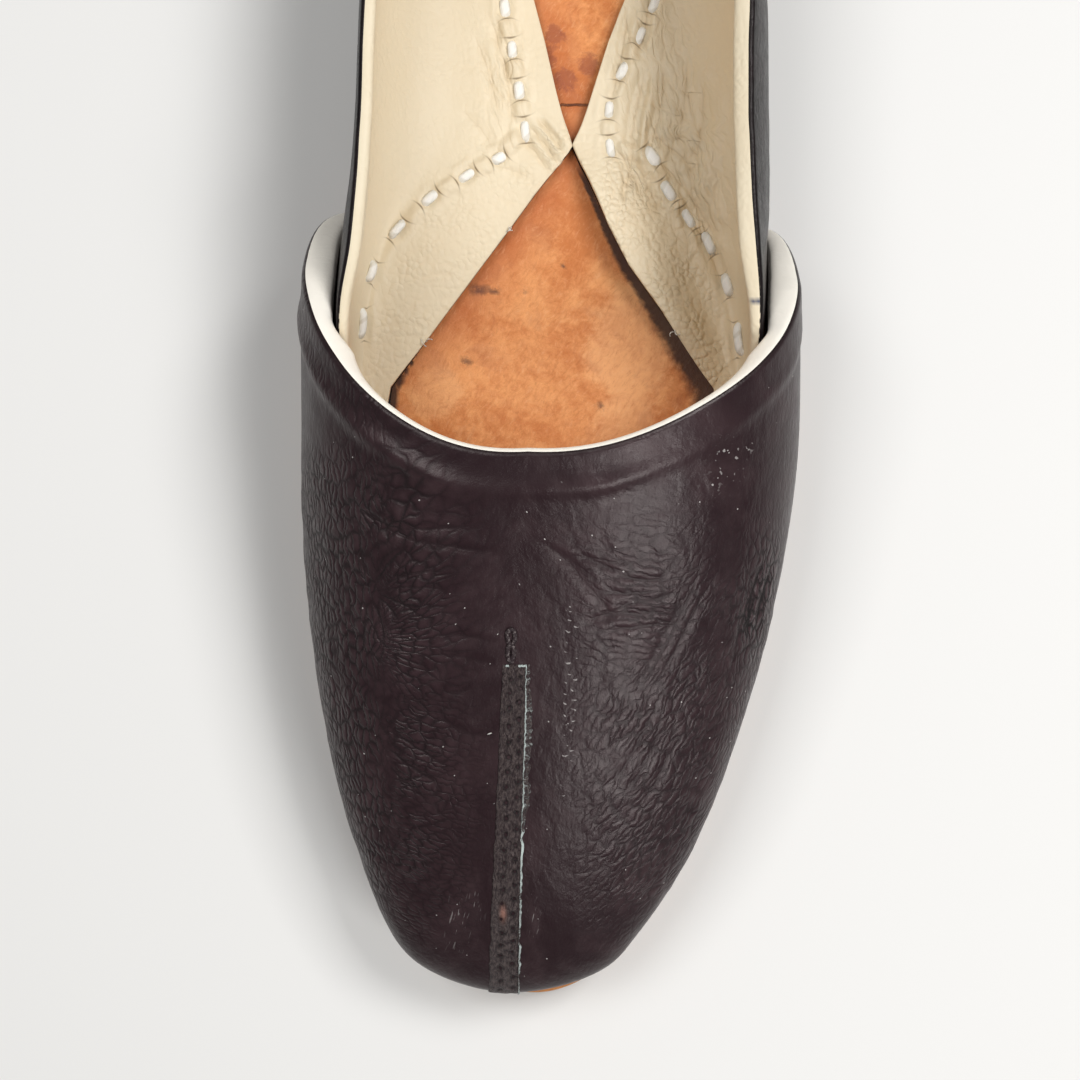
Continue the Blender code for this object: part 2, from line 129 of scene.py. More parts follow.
QUARTER_STATIONS = (
    (0.415, -0.409, 0.405, 0.40, -0.425, 0.428, 0.27, -0.383, 0.388, -0.346, 0.350),
    (0.460, -0.416, 0.411, 0.74, -0.430, 0.432, 0.30, -0.391, 0.393, -0.328, 0.343),
    (0.505, -0.411, 0.411, 0.93, -0.430, 0.434, 0.37, -0.384, 0.380, -0.236, 0.252),
    (0.550, -0.390, 0.403, 0.99, -0.419, 0.434, 0.48, -0.358, 0.348, -0.143, 0.163),
    (0.580, -0.381, 0.397, 1.00, -0.407, 0.438, 0.54, -0.327, 0.318, -0.080, 0.120),
    (0.605, -0.375, 0.394, 1.00, -0.396, 0.438, 0.57, -0.279, 0.285, -0.029, 0.089),
    (0.624, -0.372, 0.392, 1.00, -0.390, 0.437, 0.58, -0.235, 0.258, 0.011, 0.067),
    (0.640, -0.369, 0.390, 1.00, -0.387, 0.437, 0.58, -0.203, 0.238, 0.043, 0.052),
    (0.657, -0.367, 0.390, 1.00, -0.384, 0.436, 0.58, -0.183, 0.224, 0.031, 0.069),
    (0.685, -0.365, 0.390, 1.00, -0.381, 0.436, 0.57, -0.166, 0.214, 0.012, 0.093),
    (0.720, -0.360, 0.392, 1.01, -0.378, 0.435, 0.56, -0.160, 0.222, -0.009, 0.123),
    (0.760, -0.352, 0.389, 1.04, -0.371, 0.427, 0.55, -0.170, 0.244, -0.037, 0.165),
)
HEEL_LINES = {  # reach back, swelling of the half width, middle at the back
    "top": (0.216, 0.00, 0.025),
    "wide": (0.235, 0.00, 0.025),
    "seam": (0.212, 0.21, 0.027),
    "edge": (0.186, 0.20, 0.027),
}
STRIP_STARTS = 0.258
STRIP_MIDDLE_TOP, STRIP_MIDDLE_TOE = -0.069, -0.097

# Creases of the vamp in millimetres: start and end, across and along from the middle of the ball and
# the tip of the sole, how far the middle bows to the left of the way between them, width and depth
VAMP_CREASES = (
    (-37.6, 104.7, -27.0, 100.2, -0.9, 0.8, 0.28),
    (-30.5, 100.9, -12.0, 102.0, -0.9, 0.7, 0.26),
    (-36.0, 103.0, -24.0, 97.6, -0.7, 0.7, 0.20),
    (-26.0, 98.4, -10.0, 96.0, -0.4, 0.7, 0.26),
    (-34.9, 88.9, -27.6, 97.6, 0.8, 0.7, 0.36),
    (-35.0, 90.5, -30.0, 97.0, 0.8, 0.7, 0.24),
    (-34.5, 88.6, -22.0, 92.5, 0.9, 0.7, 0.26),
    (-34.6, 88.2, -20.0, 88.6, 0.6, 0.7, 0.22),
    (-34.6, 87.8, -25.0, 83.0, 0.4, 0.7, 0.32),
    (-34.8, 87.4, -30.0, 82.0, 0.4, 0.7, 0.30),
    (-35.4, 87.0, -33.0, 77.0, 0.5, 0.7, 0.26),
    (-36.4, 86.5, -37.0, 76.0, -0.4, 0.7, 0.24),
    (-36.6, 91.0, -38.0, 103.0, 0.6, 0.7, 0.24),
    (-23.0, 79.5, -9.5, 77.5, 0.7, 0.8, 0.22),
    (-24.0, 75.5, -10.0, 73.0, 0.8, 0.8, 0.22),
    (-22.0, 68.0, -9.0, 70.5, -0.8, 0.8, 0.20),
    (-24.0, 64.0, -12.0, 58.5, -0.9, 0.8, 0.20),
    (-33.0, 61.0, -20.0, 52.5, -0.5, 0.8, 0.26),
    (-33.5, 57.0, -22.0, 48.5, -0.5, 0.8, 0.26),
    (-33.0, 53.0, -24.0, 45.0, -0.4, 0.8, 0.24),
    (-2.5, 98.2, 7.0, 89.6, 0.9, 0.8, 0.34),
    (6.0, 90.4, 12.0, 83.5, 0.5, 0.7, 0.28),
    (3.1, 95.4, 14.0, 91.4, 0.8, 0.7, 0.32),
    (1.0, 95.8, 10.0, 89.0, 0.7, 0.7, 0.24),
    (9.9, 97.6, 14.4, 93.0, 0.4, 0.7, 0.20),
    (12.7, 92.1, 24.0, 91.2, -1.2, 0.7, 0.32),
    (6.3, 82.4, 16.5, 86.6, -0.7, 0.7, 0.28),
    (15.0, 86.4, 25.0, 87.6, -0.5, 0.7, 0.28),
    (8.0, 82.4, 24.0, 83.9, 0.6, 0.7, 0.24),
    (10.0, 79.6, 24.0, 81.6, 0.5, 0.7, 0.22),
    (8.0, 89.0, 22.0, 88.6, -1.0, 0.7, 0.26),
    (29.8, 92.5, 17.0, 66.5, 0.8, 0.8, 0.30),
    (31.6, 91.0, 19.0, 66.0, 0.8, 0.8, 0.26),
    (28.0, 91.0, 15.6, 66.5, 0.7, 0.7, 0.22),
    (21.0, 64.0, 12.0, 48.0, 0.6, 0.8, 0.22),
    (23.5, 62.0, 15.0, 46.0, 0.6, 0.8, 0.22),
    (25.5, 58.0, 18.0, 43.0, 0.5, 0.8, 0.20),
    (28.5, 111.0, 31.5, 107.0, 0.4, 0.8, 0.18),
    (43.5, 95.0, 40.0, 78.0, -0.7, 0.6, 0.40),
    (45.5, 93.0, 42.5, 80.0, -0.6, 0.6, 0.36),
    (42.0, 90.0, 37.5, 74.0, -0.6, 0.7, 0.26),
    (8.0, 111.5, 12.0, 109.6, 0.3, 0.7, 0.22),
)
# Creases of the quarter's lining, the same way
LINING_CREASES = (
    (21.0, 200.0, 17.6, 176.0, -1.0, 1.3, 1.10),
    (25.0, 201.0, 21.0, 181.0, 1.0, 1.5, 1.00),
    (29.5, 203.0, 26.0, 179.0, 1.3, 1.6, 0.95),
    (33.0, 198.0, 29.5, 172.0, 1.2, 1.5, 0.80),
    (18.4, 192.0, 15.8, 171.0, 0.8, 0.9, 0.80),
    (20.0, 187.0, 33.0, 176.0, 1.0, 1.3, 0.65),
    (24.0, 180.0, 36.0, 163.0, 1.0, 1.4, 0.65),
    (27.5, 190.0, 31.0, 168.0, 0.8, 1.3, 0.60),
    (17.0, 214.0, 13.0, 192.0, 0.6, 1.1, 0.60),
    (22.0, 218.0, 19.0, 203.0, 0.6, 1.2, 0.60),
    (29.0, 170.0, 38.0, 152.0, 1.0, 1.4, 0.50),
    (14.0, 183.0, 20.0, 172.0, 0.6, 1.1, 0.45),
    (17.0, 181.0, 24.0, 168.0, 0.8, 1.1, 0.45),
    (-13.0, 212.0, -8.0, 188.0, 0.9, 1.3, 0.26),
    (-16.5, 208.0, -11.0, 189.0, 0.8, 1.4, 0.20),
    (-2.8, 189.5, 3.2, 181.5, 0.3, 0.8, 0.40),
    (-4.2, 187.5, 2.0, 179.0, 0.3, 0.8, 0.36),
    (-6.0, 185.0, 0.0, 177.5, 0.3, 0.8, 0.26),
    (-19.0, 191.0, -12.0, 182.0, 0.8, 1.4, 0.16),
    (-12.0, 179.0, -4.0, 176.0, 0.5, 1.1, 0.14),
)
# White stitches in millimetres, as above: middle of each stitch, its way in degrees from across,
# counted towards the heel, and its length
FLAP_STITCHES = (
    (-40.6, 145.2, 88, 6.6),
    (-38.6, 156.4, 70, 4.4),
    (-32.8, 165.5, 52, 4.8),
    (-25.8, 172.1, 40, 4.4),
    (-17.8, 176.9, 33, 4.4),
    (-10.9, 180.6, 30, 3.0),
    (-5.2, 186.6, 97, 4.8),
    (-6.5, 195.2, 97, 4.2),
    (-8.0, 204.2, 98, 4.2),
    (-9.6, 213.4, 99, 4.4),
    (41.2, 141.8, 94, 7.2),
    (38.6, 153.5, 107, 4.6),
    (34.5, 162.5, 118, 4.8),
    (30.0, 168.0, 122, 5.0),
    (25.6, 173.7, 124, 5.0),
    (22.0, 181.0, 132, 4.4),
    (13.1, 182.8, 96, 4.4),
    (12.9, 191.0, 84, 4.0),
    (15.9, 199.6, 68, 4.4),
    (19.6, 207.5, 66, 4.6),
    (22.9, 214.6, 66, 4.6),
)
HIDDEN_STITCHES = (
    (-37.8, 123.0, 88, 4.4),
    (38.0, 121.0, 92, 4.4),
)
KNOTTED_STITCH = 15  # number of the thick one in the table
# Soft patches in millimetres, as above: middle, half width across and half length along
VAMP_SCUFFS = (
    (-19.0, 18.5, 2.2, 5.0),
    (-15.5, 21.5, 1.4, 4.0),
    (-3.0, 20.0, 1.0, 4.0),
)
VAMP_FLECKS = (
    (35.0, 114.0, 2.4, 3.4),
    (38.5, 117.5, 2.2, 1.4),
    (31.5, 109.0, 1.4, 1.4),
)
# Painted highlights: spots that the vamp's colour lightens towards the worn colour, where its sheen lies
VAMP_SHEEN = (
    (22.0, 117.0, 9.0, 4.5),
    (30.0, 122.0, 6.0, 4.0),
)
VAMP_RUCKS = (
    (44.0, 90.0, 3.0, 7.0),
    (41.5, 81.0, 3.4, 6.0),
)
LINING_WRINKLES = (
    (24.0, 190.0, 8.0, 22.0),
    (31.0, 172.0, 8.0, 18.0),
    (19.0, 206.0, 7.0, 16.0),
    (-10.0, 198.0, 4.0, 15.0),
    (17.0, 176.0, 5.0, 8.0),
)
INSOLE_STAINS = (
    (-15.2, 152.8, 2.6, 1.1),
    (-12.0, 152.6, 1.4, 0.8),
    (-5.3, 152.8, 0.7, 0.6),
    (11.1, 127.8, 0.8, 0.8),
    (-18.0, 137.5, 1.4, 0.9),
    (3.0, 158.0, 0.4, 0.4),
)
INSOLE_REDS = (
    (-1.5, 203.0, 3.0, 4.0),
    (3.5, 198.5, 3.0, 3.0),
    (8.5, 201.5, 2.5, 3.0),
    (1.0, 208.0, 2.5, 3.0),
)
INSOLE_PALES = (
    (18.0, 141.0, 11.0, 13.0),
    (17.0, 124.0, 8.0, 9.0),
    (-25.0, 130.0, 6.0, 6.0),
)
INSOLE_SLIT = 192.7  # along, where the insole is cut across
# Loose fibres: what they lie on, start in millimetres, length, way in degrees and curl
FIBRES = (
    ("flap", -27.6, 142.0, 2.0, -60, 1.2),
    ("flap", -26.6, 141.2, 1.6, 20, -2.0),
    ("flap", -9.4, 165.0, 1.6, 35, 1.8),
    ("flap", -8.6, 166.0, 1.4, -50, 2.5),
    ("flap", 27.0, 143.5, 2.0, -40, 3.0),
    ("flap", 26.0, 142.0, 1.6, 60, -3.0),
    ("vamp", -12.5, 59.4, 1.0, 20, -2.0),
)
# Edge of the outsole from the underside's inner face to the top: distance in from the outline
# and height above the floor, with a stitch groove below and a line between two layers
GROOVE_INSET = 0.0052
SOLE_PROFILE = (
    (0.0075, 0.0), (0.0064, 0.0), (0.0058, 0.0006), (0.0052, 0.0010), (0.0046, 0.0006), (0.0040, 0.0),
    (0.0020, 0.0), (0.0007, 0.0), (0.0002, 0.0002), (0.0, 0.0007), (0.0, 0.0018), (0.0003, 0.0020),
    (0.0003, 0.0022), (0.0, 0.0024), (0.0, 0.0033), (0.0002, 0.0038), (0.0007, 0.0040),
)
SOLE_DARK = (0, 0, 0.35, 0.5, 0.35, 0, 0, 0, 0, 0, 0.2, 1, 1, 0.2, 0, 0, 0)
WRINKLE_WAYS = (  # mask, length and width of the cells in millimetres, way in degrees from across
    ("tall", 3.8, 1.35, 92.0),
    ("down", 3.0, 1.25, -32.0),
    ("flat", 5.0, 1.65, -3.0),
    ("up", 4.0, 1.40, 58.0),
)
INK_DASH = ((41.6, 146.0, 0.9, 0.45), (40.6, 146.1, 0.7, 0.4))
HOLE_PITCH = 0.0033  # from one stitch hole of the strip to the next
# Strip: places along in millimetres, and how wide its raw edge is there
RAW_WIDTHS = ((0, 12, 38, 46, 60, 70, 74), (0.3, 0.4, 0.55, 1.6, 1.7, 1.1, 0.8))
# Loops of the knot: middle, half width across and half length along, in millimetres
STRIP_LOOPS = ((-7.7, 79.3, 0.75, 1.5), (-7.8, 75.9, 0.55, 1.6))
FAN_START = (-36.5, 87.5)  # where the medial wrinkles start from, like rays
RIM_ROOM = 0.0014  # how far short of the rim the vamp's sheet ends, for its roll
# Grids: columns to each side and rows of margin, lower and upper part, and for the quarter columns
# per station and round the heel, and rows of wall, turn and flap
VAMP_FINE = (196, (4, 24, 88))
VAMP_COARSE = (110, (3, 14, 44))
QUARTER_FINE = (14, 110, (34, 18, 46))
QUARTER_COARSE = (7, 60, (18, 12, 20))
# Rolled edges: first and last angle in degrees from the outer face, and rows of points
VAMP_LEATHER_ROLL = (0, 44, 7)
VAMP_LINING_ROLL = (38, 170, 18)
QUARTER_LEATHER_ROLL = (0, 60, 7)
QUARTER_LINING_ROLL = (54, 176, 14)
VAMP_ROLL_INSIDE = 0.975  # a lining's roll as a share of its leather's
QUARTER_ROLL_INSIDE = 0.985
# Vamp's lining: how far it stands off the wall, how deep it lies at the margin's edge, the room that
# it leaves to the quarter and the most that it stands off there
LINING_STANDS = 0.0004
MARGIN_LINING = 0.0008
RIM_CLEARANCE = 0.0004
RIM_DEEPEST = 0.0064
FAN_CELL = (3.0, 0.10)  # wrinkles like rays: length in millimetres and angle in radians
FLAP_HIGHEST = 0.024  # lining below this height counts as flap
STITCH_STEPS = 13  # points along a stitch
STITCH_PITCH = 9.0  # millimetres between stitches round the heel and under the sole
TUBE_SIDES = 8
TUBE_CAPS = ((0, 1, 2, 7), (2, 3, 6, 7), (3, 4, 5, 6))  # quads over the eight points of an end
STRIP_TURNS = 0.018  # from the sole's tip, where the strip's rays begin to turn down round the toe
STRIP_RUN, STRIP_BEND = 260, 150  # rows along the vamp's top and round the toe
STRIP_WORN = ((-9.6, 21.5, 0.55, 1.5),)
OUTLINE_STEPS = 12  # points of the sole's outline per station
INSOLE_INSET = 0.0008
SOLE_AXIS = (0.035, 0.945)  # ends of the sole's middle line, as shares along
UNDER_RINGS = 8  # rings over the underside, inside the profile of the edge
GRAIN_DEPTH = 0.00030  # height of the leather's bump
TURN = 6.2832  # radians in a full turn
FAR_ASIDE = 9.0  # millimetres, where no crease or slit is near
PUFF_REACH = 14  # millimetres, the most between two stitches that puff up the leather
FIBRE_STEPS, FIBRE_RADIUS = 17, 0.00011
UPRIGHT = (0.0, 0.0, 1.0)
FLOOR_REACH, FLOOR_HEIGHT = 2.0, -0.0002
SENSOR_WIDTH = 36
# Fixed tints of marks and wear, of painted shade and painted light, and of light itself
CREASE_SHADE_BLACK = (0.0035, 0.0018, 0.0022)
DUST_GREY = (0.50, 0.47, 0.45)
RIM_BLACK = (0.010, 0.006, 0.006)
WARM_SHINE = (1.0, 0.92, 0.90, 1.0)
PINCH_SHADE_UMBER = (0.30, 0.21, 0.115)
ROLL_LIGHT_WHITE = (0.93, 0.88, 0.79)
SLIT_SHADE_UMBER = (0.17, 0.12, 0.065)
INK_BLUE = (0.030, 0.045, 0.10)
PATCH_PALE = (0.90, 0.48, 0.22)
BURNT_TAN = (0.40, 0.085, 0.016)
NAP_DARK = (0.40, 0.115, 0.030)
NAP_PALE = (0.86, 0.48, 0.24)
STAIN_BLACK = (0.055, 0.017, 0.012)
CUT_BLACK = (0.06, 0.018, 0.010)
FLAP_SHADOW_BLACK = (0.030, 0.010, 0.005)
LAYER_BROWN = (0.23, 0.095, 0.035)
SCUFF_BROWN = (0.20, 0.10, 0.05)
GROOVE_BLACK = (0.030, 0.016, 0.010)
HOLE_BLACK = (0.003, 0.002, 0.002)
WORN_PINK = (0.42, 0.20, 0.15)
KNOT_DUST = (0.26, 0.22, 0.21)
FLOOR_SHADE = (0.66, 0.65, 0.63)
THREAD_SHADE = (0.74, 0.71, 0.63)
FIBRE_SHADE = (0.62, 0.57, 0.48)
SKY_TINT = (0.96, 0.98, 1.0, 1.0)
# Lamps: name, property with the power, place and size in metres
LAMPS = (
    ("key_lamp", "key_power", (0.42, 0.24, 0.78), 0.32),
    ("fill_lamp", "fill_power", (-0.36, 0.14, 0.85), 0.40),
    ("toe_lamp", "toe_power", (0.36, -0.47, 0.63), 0.30),
)
LAMPS_AIM = (0.0, 0.0, 0.03)


def length_property(name, description, default):
    """A property that holds a length in metres."""
    return FloatProperty(
        name=name, description=description, default=default, subtype="DISTANCE", unit="LENGTH")


def colour_property(name, description, default):
    """A property that holds a linear colour."""
    return FloatVectorProperty(
        name=name, description=description, default=default, subtype="COLOR", size=3, min=0, max=1)


def power_property(name, description, default):
    """A property that holds the power of a lamp."""
    return FloatProperty(name=name, description=description, default=default, unit="POWER")


class JuttiSizes(bpy.types.PropertyGroup):
    """Sizes of the shoe and its leather."""

    shoe_length: length_property("Shoe length", "From the tip of the sole to the back of the heel", 0.286)
    ball_width: length_property("Ball width", "Widest part of the vamp", 0.104)
    instep_height: length_property("Instep height", "Top of the vamp at the throat", 0.059)
    side_height: length_property("Side height", "Collar at the side of the foot", 0.047)
    heel_height: length_property("Heel height", "Collar at the back of the heel", 0.061)
    toe_spring: length_property("Toe spring", "Lift of the sole's tip from the floor", 0.004)
    arch_lift: length_property("Arch lift", "Lift of the sole under the waist", 0.0025)
    outsole: length_property("Outsole", "Thickness of the outsole", 0.004)
    insole: length_property("Insole", "Thickness of the insole", 0.0025)
    vamp_wall: length_property("Vamp wall", "Leather and lining of the vamp together", 0.0026)
    vamp_leather: length_property("Vamp leather", "Thickness of the vamp's leather", 0.0007)
    vamp_lining: length_property("Vamp lining", "Thickness of the vamp's lining", 0.0006)
    quarter_wall: length_property("Quarter wall", "Leather and lining of the quarter together", 0.0022)
    quarter_leather: length_property("Quarter leather", "Thickness of the quarter's leather", 0.0008)
    quarter_lining: length_property("Quarter lining", "Thickness of the quarter's lining", 0.0010)
    fit_gap: length_property("Fit gap", "Room between layers of leather", 0.0003)
    turned_edge: length_property("Turned edge", "Width of the folded edge round the throat", 0.0078)
    turned_lift: length_property("Turned edge lift", "How far the folded edge stands up", 0.0005)
    lasting_margin: length_property("Lasting margin", "Foot of the vamp on the insole", 0.008)
    strip_top: length_property("Strip, top", "Width of the toe strip at its top end", 0.0046)
    strip_toe: length_property("Strip, toe", "Width of the toe strip at the tip", 0.0064)
    strip_foot: length_property("Strip foot", "Height of the toe strip's lower end", 0.0105)
    strip_leather: length_property("Strip leather", "Thickness of the toe strip", 0.0006)
    thread: length_property("Sole thread", "Radius of the white sole thread", 0.00105)


class JuttiColours(bpy.types.PropertyGroup):
    """Colours of leather and thread."""

    vamp: colour_property("Vamp", "Dark grained leather", (0.0180, 0.0084, 0.0104))
    # This colour is both rubbed leather and painted light: the vamp's pillows, the turned edge's ridge and
    # its sheen spots are lightened towards it
    vamp_worn_and_sheen: colour_property("Vamp, worn", "Where the dark leather is rubbed", (0.050, 0.028, 0.031))
    quarter: colour_property("Quarter", "Black outside of the quarter", (0.0065, 0.0052, 0.0054))
    lining: colour_property("Lining", "Cream lining leather", (0.70, 0.605, 0.44))
    # Painted shade: the lining is darkened towards this colour in its folds, creases and slits, between
    # pebbles and on the shaded lateral wall; it also gives the lining's darker random tone
    lining_shade: colour_property("Lining, shaded", "Cream leather in its folds", (0.68, 0.53, 0.335))
    insole: colour_property("Insole", "Tan insole leather", (0.57, 0.180, 0.043))
    insole_pale: colour_property("Insole, pale", "Lighter clouds of the insole", (0.80, 0.345, 0.122))
    insole_stain: colour_property("Insole stain", "Darker blotches of the insole", (0.30, 0.075, 0.028))
    outsole: colour_property("Outsole", "Sole leather", (0.40, 0.19, 0.075))
    outsole_pale: colour_property("Outsole, pale", "Lighter clouds of the sole", (0.52, 0.27, 0.115))
    thread: colour_property("Sole thread", "White cotton thread", (0.92, 0.91, 0.87))
    strip: colour_property("Strip", "Rough leather of the toe seam strip", (0.090, 0.066, 0.062))
    raw_edge: colour_property("Raw edge", "Pale cut edge beside the toe strip", (0.60, 0.68, 0.65))
    floor: colour_property("Floor", "Studio floor", (0.74, 0.73, 0.71))


class JuttiStage(bpy.types.PropertyGroup):
    """Camera and lamps."""

    camera_height: length_property("Camera height", "Camera above the floor", 0.46)
    camera_along: length_property("Camera along", "Camera from the tip of the sole", 0.0984)
    camera_across: length_property("Camera across", "Camera from the middle of the ball", -0.002)
    lens: FloatProperty(name="Lens", description="Focal length in millimetres", default=69.37)
    key_power: power_property("Key lamp", "Lamp on the little toe's side", 4.9)
    fill_power: power_property("Fill lamp", "Lamp on the big toe's side", 3.4)
    toe_power: power_property("Toe lamp", "Lamp in front of the toe", 2.8)
    sky: FloatProperty(name="Sky", description="Light from all around", default=0.17)


def spline(knots, values, at):
    """Natural cubic spline: second derivatives from a tridiagonal system, then one cubic a cell."""
    knots, values, at = (np.asarray(a, float) for a in (knots, values, at))
    step = np.diff(knots)
    slope = np.diff(values) / step
    system = np.eye(len(knots))
    inner = np.arange(1, len(knots) - 1)
    system[inner, inner - 1] = step[:-1]
    system[inner, inner] = 2 * (step[:-1] + step[1:])
    system[inner, inner + 1] = step[1:]
    bend = np.linalg.solve(system, np.concatenate(([0.0], 6 * np.diff(slope), [0.0])))
    cell = np.clip(np.searchsorted(knots, at, side="right") - 1, 0, len(step) - 1)
    h = step[cell]
    before, after = knots[cell + 1] - at, at - knots[cell]
    cubic = (bend[cell] * before**3 + bend[cell + 1] * after**3) / (6 * h)
    line_start = (values[cell] / h - bend[cell] * h / 6) * before
    line_end = (values[cell + 1] / h - bend[cell + 1] * h / 6) * after
    return cubic + line_start + line_end


def steady(knots, values, at):
    """Cubic that never swings past its values: each tangent is the harmonic mean of two slopes."""
    knots, values, at = (np.asarray(a, float) for a in (knots, values, at))
    step = np.diff(knots)
    slope = np.diff(values) / step
    tangent = np.concatenate((slope[:1], np.zeros(len(slope) - 1), slope[-1:]))
    same_way = slope[:-1] * slope[1:] > 0
    mean = 2 * slope[:-1] * slope[1:] / np.where(same_way, slope[:-1] + slope[1:], 1)
    tangent[1:-1] = np.where(same_way, mean, 0)
    cell = np.clip(np.searchsorted(knots, at, side="right") - 1, 0, len(step) - 1)
    h = step[cell]
    f = (at - knots[cell]) / h
    start = values[cell] * (1 + 2 * f) * (1 - f) ** 2 + tangent[cell] * h * f * (1 - f) ** 2
    end = values[cell + 1] * f**2 * (3 - 2 * f) + tangent[cell + 1] * h * f**2 * (f - 1)
    return start + end


def columns(names, rows):
    """A table as a dictionary of its columns."""
    return dict(zip(names, np.array(rows, float).T))


def both_sides(table, medial, lateral):
    """A column that runs from the medial rear round the toe to the lateral rear."""
    return np.concatenate((table[medial][:0:-1], table[lateral]))


def smooth(value, low, high):
    """0 below low, 1 above high, and 3f^2 - 2f^3 between."""
    f = np.clip((value - low) / (high - low), 0, 1)
    return f * f * (3 - 2 * f)


def unit(vectors):
    """Vectors divided by their lengths."""
    return vectors / np.maximum(np.linalg.norm(vectors, axis=-1, keepdims=True), 1e-12)


def grid_normals(points):
    """Unit normals of a grid: the cross product of its two central differences."""
    return unit(np.cross(np.gradient(points, axis=0), np.gradient(points, axis=1)))


def numbered(shape):
    """Point numbers of a grid of this shape."""
    return np.arange(np.prod(shape)).reshape(shape)


def lengths_along(points, axis=0):
    """How far each point is from the first one, by straight steps along this axis."""
    steps = np.diff(points, axis=axis, prepend=np.take(points, [0], axis=axis))
    return np.cumsum(np.linalg.norm(steps, axis=-1), axis=axis)


def noise(points, spacing, seed):
    """Smooth noise between -1 and 1: random values on a cubic lattice, blended by smooth steps."""
    values = np.random.default_rng(seed).uniform(-1, 1, 4096)
    place = points / np.asarray(spacing)
    base = np.floor(place).astype(np.int64)
    f = place - base
    f = f * f * (3 - 2 * f)
    total = np.zeros(points.shape[:-1])
    for corner in np.ndindex(2, 2, 2):
        key = (base + corner) * np.array((73856093, 19349663, 83492791))
        pick = (key[..., 0] ^ key[..., 1] ^ key[..., 2]) % len(values)
        weight = np.prod(np.where(np.array(corner) == 1, f, 1 - f), axis=-1)
        total += weight * values[pick]
    return total


def nearest(points, others):
    """Index of, and distance to, the nearest of the other points, in blocks of rows."""
    flat = points.reshape(-1, 3)
    index = np.empty(len(flat), int)
    gap = np.empty(len(flat))
    for part in np.array_split(np.arange(len(flat)), max(1, len(flat) * len(others) // 4_000_000)):
        far = ((flat[part, None] - others[None]) ** 2).sum(axis=-1)
        index[part] = far.argmin(axis=1)
        gap[part] = np.sqrt(far.min(axis=1))
    return index.reshape(points.shape[:-1]), gap.reshape(points.shape[:-1])


